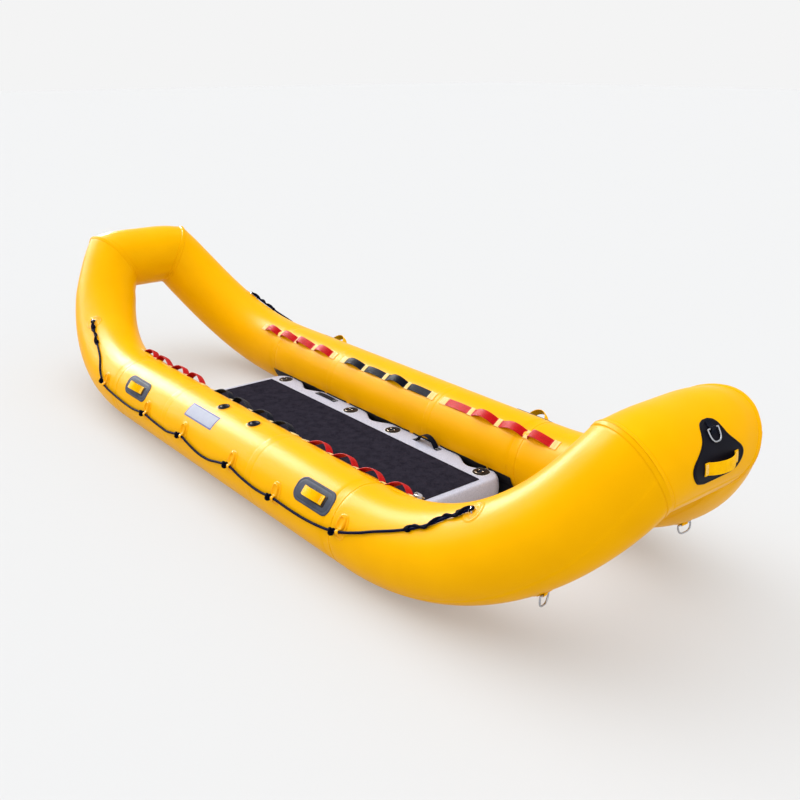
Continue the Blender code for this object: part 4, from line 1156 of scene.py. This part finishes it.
def valves():
    for end, share in valve_place_shares.items():
        station = share * straight_half
        centre, _, across, up = tube_frames(-1, station)
        turn = math.radians(valve_angle)
        axis = math.cos(turn) * across + math.sin(turn) * up
        base = centre + skin_radius * axis
        Parts().pad(partial(skin, -1), station, valve_angle, oval(collar_radius),
                    rim_profile(*collar_rim)).piece(
                        f"valve_collar_{end}", "yellow_moulding", "yellow_fabric")
        lathe(base, axis, valve_seat_profile).piece(
            f"valve_seat_{end}", "valve_black", "valve_black", f"valve_body_{end}")
        lid = lathe(base, axis, valve_lid_profile)
        grip_way = unit(np.cross(axis, (0.0, 1.0, 0.0)))
        rings = []
        for along in np.linspace(-1, 1, 13):
            lift = valve_grip_rise * (1 - abs(along) ** 3)
            wide = valve_grip_half_width * (1 - 0.4 * along * along)
            section = [(-wide, -valve_grip_embed), (wide, -valve_grip_embed), (wide, lift * 0.6),
                       (wide * 0.6, lift), (-wide * 0.6, lift), (-wide, lift * 0.6)]
            rings.append([base + along * valve_grip_half * grip_way + c * np.cross(axis, grip_way)
                          + (valve_height + valve_grip_embed + h) * axis for c, h in section])
        lid.loft(rings).piece(f"valve_lid_{end}", "valve_black", "valve_black", f"valve_cap_{end}",
                              body=f"valve_cap_{end}")


def label():
    for name, (look, inset, corner, rim, node) in label_layers.items():
        outline = rounded_box(*(half - inset for half in label_half), corner)
        Parts().pad(partial(skin, -1), label_place_share * straight_half, label_angle, outline,
                    rim_profile(*rim)).piece(name, look, "label_white", node)


# Floor and deck

floor_thickness = 0.0012
floor_clearance = 0.003
floor_edge_angle = 196
floor_leave_angle = 217
floor_corner_radius = 0.02
floor_wave_height = 0.0012
floor_waves = (0.11, 0.19)
floor_glue_gap = 0.0006
# Where the sheet hangs loose: distances from the keel line, each with the width of its change
floor_loose = ((0.28, 0.06), (0.37, 0.012))
deck_top = 0.125
deck_shift = 0.034
deck_x = middle_x + deck_shift
pad_half = (0.898, 0.224)
pad_thickness = 0.004
pad_corner = 0.006
pad_low = 0.0004
pad_spacing = 0.03
pad_profile = (
    (0.0, 0.0008), (0.0, 0.003), (0.0004, 0.0038), (0.0012, 0.0043), (0.01, 0.0043), (0.0106, 0.0032),
    (0.0134, 0.0032), (0.014, 0.0043), (0.1, 0.0043), (0.2, 0.0043))
board_half_length = 0.945
board_corner_radius = 0.08
board_edge_inset = 0.018
board_top_inset = board_edge_inset + 0.012
board_bulge_power = 0.8
board_sharp_angle = math.radians(60)
board_top = deck_top - pad_thickness - seat_gap
board_low = floor_clearance + floor_thickness + seat_gap
board_half_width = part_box("deck_board")[1].y
scallop_depth = 0.05
scallop_length = 0.27
scallop_place_shares = (-0.67, 0, 0.79)
fitting_radius = 0.044
fitting_rim = 0.0028
fitting_inset = 0.064
fitting_place_shares = (-0.891, -0.195, 0.195, 0.891)
fitting_profile = (
    (0.0, 0.0012), (0.0006, 0.002), (0.002, 0.0024), (0.006, 0.0024), (0.0075, 0.0018), (0.012, 0.0018),
    (0.0135, 0.0023), (0.03, 0.0025), (0.038, 0.0025))
# Each layer's radius, profile and look
fitting_layers = {
    "fitting_rim": (fitting_radius, rim_profile(0.0009, 0.0004, 4, 0.043), "thread_white"),
    "fitting": (fitting_radius - fitting_rim, fitting_profile, "dark_rubber"),
}
fitting_tab_width = 0.018
fitting_tab_thickness = 0.0012
fitting_tab_half = 0.02
fitting_tab_low = 0.0026
fitting_tab_arch = (0.0062, 0.0046)
deck_handle = {"length": 0.186, "width": 0.032, "thickness": 0.0025, "foot": 0.026, "low": 0.0006,
               "insets": (0.004, 0.018), "margin": 0.004, "stitch_height": 0.0028}
deck_handle_inset = 0.049
# Each handle's place as a share of the board's half length, and its rise
deck_handle_places = {"stern": (-0.463, 0.003), "bow": (0.463, 0.046)}


def floor_profile():
    """The trough's underside from its port edge to the keel line, as y and z."""
    reach = skin_radius + floor_glue_gap
    glued = np.radians(np.linspace(floor_edge_angle, floor_leave_angle, 9))
    spots = [(tube_offset + reach * math.cos(t), tube_radius + reach * math.sin(t)) for t in glued]
    wall, wall_top = spots[-1]
    spots += [(wall, z) for z in np.linspace(wall_top, floor_clearance + floor_corner_radius, 6)[1:]]
    for turn in math.pi / 2 * np.arange(1, 8) / 7:
        spots.append((wall - floor_corner_radius * (1 - math.cos(turn)),
                      floor_clearance + floor_corner_radius * (1 - math.sin(turn))))
    return spots + [(y, floor_clearance) for y in np.linspace(wall - floor_corner_radius, 0, 14)[1:]]


def ripple_along(x, length):
    return np.sin(2 * math.pi * x / length + RNG.uniform(0, 2 * math.pi))


def floor_sheet():
    half = floor_profile()
    spots = np.array(half + [(-y, z) for y, z in half[-2::-1]])
    ways = unit(np.gradient(spots, axis=0))
    inward = np.stack([ways[:, 1], -ways[:, 0]], 1)
    if inward[len(spots) // 2][1] < 0:
        inward = -inward
    ends = sheet_low.x, sheet_high.x
    columns = np.linspace(*ends, 120)
    wave = floor_wave_height * sum(ripple_along(columns, length) for length in floor_waves)
    out = np.abs(spots[:, 0])
    (start, rise), (stop, fall) = floor_loose
    loose = smoothstep((out - start) / rise) * smoothstep((stop - out) / fall)
    rings = []
    for (y, z), (wy, wz), slack in zip(spots, inward, loose):
        under, over = (np.stack([columns, y + wy * push, z + wz * push], 1)
                       for push in (wave * slack, wave * slack + floor_thickness))
        rings.append(np.vstack([under, over[::-1]]))
    lengths = marks_of(spots)
    piece = Parts().loft(rings, lengths=lengths, rounds=[*columns, *columns[::-1], columns[0]]).piece(
        "trough", "black_fabric", "black_fabric", "floor_sheet")


def scallop_at(x):
    """How far the board's long edge is drawn in at these distances from its middle."""
    depth = np.zeros_like(x)
    for share in scallop_place_shares:
        near = np.abs(x - share * board_half_length) / (scallop_length / 2)
        depth = np.maximum(depth, np.where(near < 1, scallop_depth * (1 + np.cos(math.pi * near)) / 2, 0))
    return depth


def board_ring(inset, z):
    """The board's outline at a height: rounded corners, and long edges drawn in at three places."""
    half_width = board_half_width - inset
    corner = board_corner_radius - inset * 0.5
    run = board_half_length - inset - corner
    x = np.linspace(run, -run, 150)
    port = list(zip(x, half_width - scallop_at(x)))
    turns = math.pi / 2 * (1 + np.arange(1, 12) / 12)
    corners = [(-run + corner * math.cos(t), half_width - corner * (1 - math.sin(t))) for t in turns]
    across = [(-run - corner, y) for y in np.linspace(half_width - corner, corner - half_width, 40)]
    stern = corners + across + [(x, -y) for x, y in corners[::-1]]
    ring = port + stern + [(x, -y) for x, y in port[::-1]] + [(-x, -y) for x, y in stern]
    return [(deck_x + x, y, z) for x, y in ring]


def deck_board():
    """The inflated board: a flat top and bottom, and bulging side walls."""
    rings = []
    for turn in math.pi * np.arange(15) / 14:
        rings.append(board_ring(board_edge_inset * (1 - abs(math.sin(turn)) ** board_bulge_power),
                                board_low + (board_top - board_low) * (1 - math.cos(turn)) / 2))
    Parts().loft(rings + [board_ring(board_top_inset, board_top)]).piece(
        "board", "board", "grey_fabric", "deck_board", sharp=board_sharp_angle)


def on_board(x, y, along, angle, height):
    """Points on the deck board: along x from a spot, and degrees of arc across it."""
    along, angle, height = alike(along, angle, height)
    return np.stack([x + along, y + np.radians(angle) * tube_radius, board_top + height], -1)


def deck_fittings():
    """Dark round rubber patches on the board, each with a pale rim and a sewn tab for its ring."""
    spots = [(side, share) for side in SIDES.values() for share in fitting_place_shares]
    for number, (side, share) in enumerate(spots, 1):
        x, y = deck_x + share * board_half_length, side * (board_half_width - fitting_inset)
        place = partial(on_board, x, y)
        for name, (radius, profile, look) in fitting_layers.items():
            Parts().pad(place, 0, 0, oval(radius), profile).piece(f"{name}_{number}", look, "grey_fabric")
        feet = [(fitting_tab_half * s, 0) for s in (0.5, 0.75, 1.0)]
        arch = [(-fitting_tab_arch[0] * math.cos(t), fitting_tab_arch[1] * math.sin(t))
                for t in np.linspace(0, math.pi, 11)]
        line = [(x, y + side * off, board_top + fitting_tab_low + lift)
                for off, lift in [(-off, 0) for off, _ in feet[::-1]] + arch + feet]
        Parts().loft(strap_rings(line, (1.0, 0.0, 0.0), fitting_tab_width, fitting_tab_thickness,
                                 (0.0, 0.0, 1.0))).piece(
                                     f"fitting_tab_{number}", "black_webbing", "black_webbing")


def deck_pad():
    outline = dense(rounded_box(*pad_half, pad_corner, 6), pad_spacing)
    piece = Parts().pad(partial(on_board, deck_x, 0), 0, 0, outline, pad_profile, -pad_low).piece(
        "pad", "foam", "black_foam", "deck_pad")


def deck_handles():
    for side_name, side in SIDES.items():
        for end, (share, rise) in deck_handle_places.items():
            tail = f"{side_name}_{end}"
            place = partial(on_board, deck_x + share * board_half_length,
                            side * (board_half_width - deck_handle_inset))
            handle((f"deck_strap_{tail}", f"deck_strap_stitches_{tail}"), ("black_webbing", "thread_white"),
                   place, 0, 0, f"deck_handle_{tail}", 0, rise=rise, **deck_handle)


# Rings

# Each ring's width, length and wire
ring_sizes = {"deck_ring": (0.036, 0.03, 0.002), "tow_ring": (0.056, 0.044, 0.003),
              "under_ring": (0.06, 0.04, 0.0037), "inner_ring": (0.032, 0.03, 0.002)}
ring_bow_power = 0.7


def wire_rings():
    """A smooth D-ring on every ring's hinge, lying as its solid lies."""
    for joint in frame["joints"]:
        node = joint["child"]
        kind = next((k for k in ring_sizes if node.startswith(k)), None)
        if not kind:
            continue
        width, length, wire = ring_sizes[kind]
        bar_way = unit(joint["axis"])
        points = np.array([vertex.co for vertex in frame["nodes"][node].data.vertices], np.float32)
        bow_way = points.mean(0) - joint["pos_m"]
        bow_way = unit(bow_way - bow_way @ bar_way * bar_way)
        turns = math.pi * np.arange(41) / 40
        path = [(x, 0.0) for x in np.linspace(-width / 2, width / 2, 9)[1:-1]]
        path += [(math.copysign(abs(math.cos(t)) ** ring_bow_power, math.cos(t)) * width / 2,
                  length * abs(math.sin(t)) ** ring_bow_power) for t in turns]
        line = np.array(joint["pos_m"]) + np.array(path) @ (bar_way, bow_way)
        face = np.cross(bar_way, bow_way)
        rings = [point + wire * spokes(np.cross(face, way), face, 12)
                 for point, way in zip(line, unit(np.roll(line, -1, 0) - np.roll(line, 1, 0)))]
        look = "steel_dull" if kind == "deck_ring" else "steel"
        Parts().loft(rings, closed=True).piece(f"{node}_wire", look, "stainless_steel", node, body=node)


# Towing patch

tow_half_width = 0.137
tow_angle_top = 53
tow_angle_bottom = -12
tow_middle_angle = 12.5
# The patch's half width down it, as shares of its height and of tow_half_width
tow_shares = (0, 0.03, 0.09, 0.2, 0.35, 0.5, 0.6, 0.69, 0.8, 0.9, 0.96, 1)
tow_width_shares = (0.1, 0.22, 0.32, 0.4, 0.52, 0.76, 0.93, 1, 0.97, 0.86, 0.74, 0.5)
tow_rise = 0.003
tow_insets = (0.002, 0.01, 0.02, 0.035, 0.05, 0.07, 0.085, 0.1, 0.112, 0.122)
tow_profile = ((0.0, 0.0012), (0.0006, 0.0022), *((inset, tow_rise) for inset in tow_insets))
tow_stitch_share = 0.93
tow_handle_angle = 5
tow_handle_shift = 0.008
tow_handle = {"length": 0.18, "width": 0.044, "thickness": 0.003, "foot": 0.02, "low": 0.0045, "rise": 0.028,
              "insets": (0.004, 0.009, 0.014), "margin": 0.006, "stitch_height": 0.0072}
tow_ring_angle = 41


def tow_outline():
    """The patch's outline, as distances to port and round from its middle angle. Its width is smooth between
    the listed ones, by Hermite's rule."""
    spots = np.linspace(0, 1, 60)
    places, values = np.array(tow_shares), np.array(tow_width_shares)
    index = np.clip(np.searchsorted(places, spots) - 1, 0, len(places) - 2)
    step = places[index + 1] - places[index]
    t = (spots - places[index]) / step
    slopes = np.gradient(values, places)
    widths = tow_half_width * (
        (2 * t**3 - 3 * t**2 + 1) * values[index] + (t**3 - 2 * t**2 + t) * step * slopes[index]
        + (3 * t**2 - 2 * t**3) * values[index + 1] + (t**3 - t**2) * step * slopes[index + 1])
    angles = tow_angle_top + (tow_angle_bottom - tow_angle_top) * spots
    ring = [*zip(widths, angles), *((widths[-1] * share, tow_angle_bottom) for share in (0.5, 0, -0.5)),
            *zip(-widths[::-1], angles[::-1]), (0, tow_angle_top)]
    return np.array([(width, math.radians(angle - tow_middle_angle) * tube_radius) for width, angle in ring])


def tow_fittings():
    outline = tow_outline()
    Parts().pad(on_bow_tube, 0, tow_middle_angle, outline, tow_profile).piece(
        "towing_patch", "patch_black", "black_fabric", "tow_patch")
    threads = Parts()
    spots = [(y, tow_middle_angle + degrees_of(off)) for y, off in outline * tow_stitch_share]
    for here, there in zip(spots[::2], spots[2::2] + spots[:1]):
        stitch_row(threads, on_bow_tube, here, there, tow_rise)
    threads.piece("towing_patch_stitches", "thread_black", "black_fabric")
    handle(("towing_handle", "towing_handle_stitches"), ("yellow_webbing", "thread_pale"), on_bow_tube,
           tow_handle_shift, tow_handle_angle, "tow_handle", 0.5 / tube_radius, **tow_handle)
    out = out_of(on_bow_tube, 0, tow_ring_angle)
    ring_tab(Parts(), "tow_ring", (middle_x + tip_x, 0, tip_z), out,
             -round_way(on_bow_tube, 0, tow_ring_angle), (0.0, 1.0, 0.0)).piece(
                 "tow_ring_tab", "black_webbing", "black_webbing")


# Tabs that hold rings

# Each ring's tab: its width and thickness, its bend's radius, its reach and its height over the skin
ring_tabs = {
    "tow_ring": (0.027, 0.0016, 0.0042, 0.03, 0.0032),
    "under_ring": (0.028, 0.0016, 0.0042, 0.024, 0.0038),
    "inner_ring": (0.026, 0.0014, 0.011, 0.03, 0.0006),
}
under_segment = 7
bend_segments = 11
under_tab_length = 0.055
under_tab_width = 0.036
under_tab_thickness = 0.003
under_tab_low = 0.0004


def ring_tab(parts, node, centre, out, way, wide):
    """Adds a tab that lies flat on the skin, bends over a ring's bar and lies flat again."""
    width, thickness, radius, reach, height = next(t for k, t in ring_tabs.items() if node.startswith(k))
    bar = np.array(joint_of(node)["pos_m"])
    flat = bar - ((bar - centre) @ out - skin_radius - height) * out
    turn = np.linspace(0, math.pi, 13)[:, None]
    line = np.vstack([flat - reach * np.array([[1], [0.7], [0.4]]) * way,
                      bar - radius * np.cos(turn) * way + radius * np.sin(turn) * out,
                      flat + reach * np.array([[0.4], [0.6]]) * way])
    return parts.loft(strap_rings(line, wide, width, thickness, out))


def under_tabs():
    station = straight_half + under_segment * (tip_station - straight_half) / bend_segments
    for side_name, side in SIDES.items():
        centre, along, across, up = tube_frames(side, station)
        line = skin(side, station + np.linspace(-0.5, 0.5, 17) * under_tab_length, -90, under_tab_low)
        parts = Parts().loft(strap_rings(line, across, under_tab_width, under_tab_thickness, -up,
                                         0.5 / tube_radius))
        ring_tab(parts, f"under_ring_{side_name}", centre, -up, along, across).piece(
            f"under_strap_{side_name}", "yellow_webbing", "yellow_webbing", f"under_tab_{side_name}")


def inner_tab():
    """A pale tab that holds the ring on the inboard shoulder, ahead of the starboard loops."""
    bar = np.array(joint_of("inner_ring")["pos_m"])
    centre, along, _, _ = tube_frames(-1, float(np.interp(bar[0] - middle_x, CENTRES[:, 0], STATIONS)))
    out = unit(bar - centre - ((bar - centre) @ along) * along)
    ring_tab(Parts(), "inner_ring", centre, out, along, np.cross(along, out)).piece(
        "inner_ring_tab", "tab_pale", "black_webbing")


# Stage

ground_tone = (0.4, 0.404, 0.408)
ground_glow = 0.252
ground_reach = 60.0
ground_gap = 0.0004
backdrop_light = 0.905
# Each soft light's direction from the boat, the angle it fills, its strength and whether it only glosses.
softboxes = {
    "overhead": ((-0.15, -0.1, 1.0), 75, 1.66, False),
    "bow_side": ((0.95, -0.12, 0.4), 60, 0.5, False),
    "behind": ((-0.78, -0.33, 0.5), 60, 0.9, False),
    "shine_low": ((-0.96, 0.12, 0.25), 22, 5.4, True),
    "shine_middle": ((-0.86, -0.02, 0.5), 22, 3.6, True),
    "shine_high": ((-0.73, -0.08, 0.68), 22, 6.4, True),
    "shine_wide": ((-0.82, -0.3, 0.48), 42, 5.2, True),
}
# The camera, as it was fitted to the photograph
camera_place = (3.635 + middle_x, -2.436, 1.919)
camera_lens = 41.046
camera_sensor = 36
camera_tilt = 20.48
camera_turn = 50.95


def add_object(name, data):
    thing = bpy.data.objects.new(name, data)
    bpy.context.scene.collection.objects.link(thing)
    return thing


def stage():
    mesh = bpy.data.meshes.new("ground")
    corners = [(sx * ground_reach, sy * ground_reach, 0) for sx, sy in ((-1, -1), (1, -1), (1, 1), (-1, 1))]
    mesh.from_pydata(corners, [], [(0, 1, 2, 3)])
    mesh.materials.append(new_material("ground", ground_tone, 1.0, 0.0, Emission_Color=(1, 1, 1, 1),
                                       Emission_Strength=ground_glow))
    ground = add_object("ground", mesh)
    ground.location.z = -ground_gap
    world = bpy.data.worlds.new("studio")
    world.use_nodes = True
    world.node_tree.nodes["Background"].inputs["Color"].default_value = (1, 1, 1, 1)
    world.node_tree.nodes["Background"].inputs["Strength"].default_value = backdrop_light
    bpy.context.scene.world = world
    bpy.context.scene.view_settings.view_transform = "Standard"
    for name, (way, spread_angle, strength, gloss_only) in softboxes.items():
        lamp = bpy.data.lights.new(name, "SUN")
        lamp.angle = math.radians(spread_angle)
        lamp.energy = strength
        light = add_object(name, lamp)
        light.rotation_euler = Vector(way).to_track_quat("Z", "Y").to_euler()
        light.visible_diffuse = not gloss_only


def camera():
    settings = bpy.data.cameras.new("photo")
    settings.lens = camera_lens
    settings.sensor_width = camera_sensor
    eye = add_object("photo", settings)
    eye.location = camera_place
    eye.rotation_euler = (math.radians(90 - camera_tilt), 0, math.radians(camera_turn))
    bpy.context.scene.camera = eye


camera()
for side_name, side in SIDES.items():
    lifeline(side_name, side)
for side_name, side in SIDES.items():
    side_tube(side_name, side)
    lifeline_patches(side_name, side)
    lifeline_eyes(side_name, side)
for end_name, end in ENDS.items():
    cross_tube(end_name, end)
loop_rows()
grab_handles()
valves()
label()
floor_sheet()
deck_board()
deck_fittings()
deck_pad()
deck_handles()
wire_rings()
tow_fittings()
under_tabs()
inner_tab()
stage()
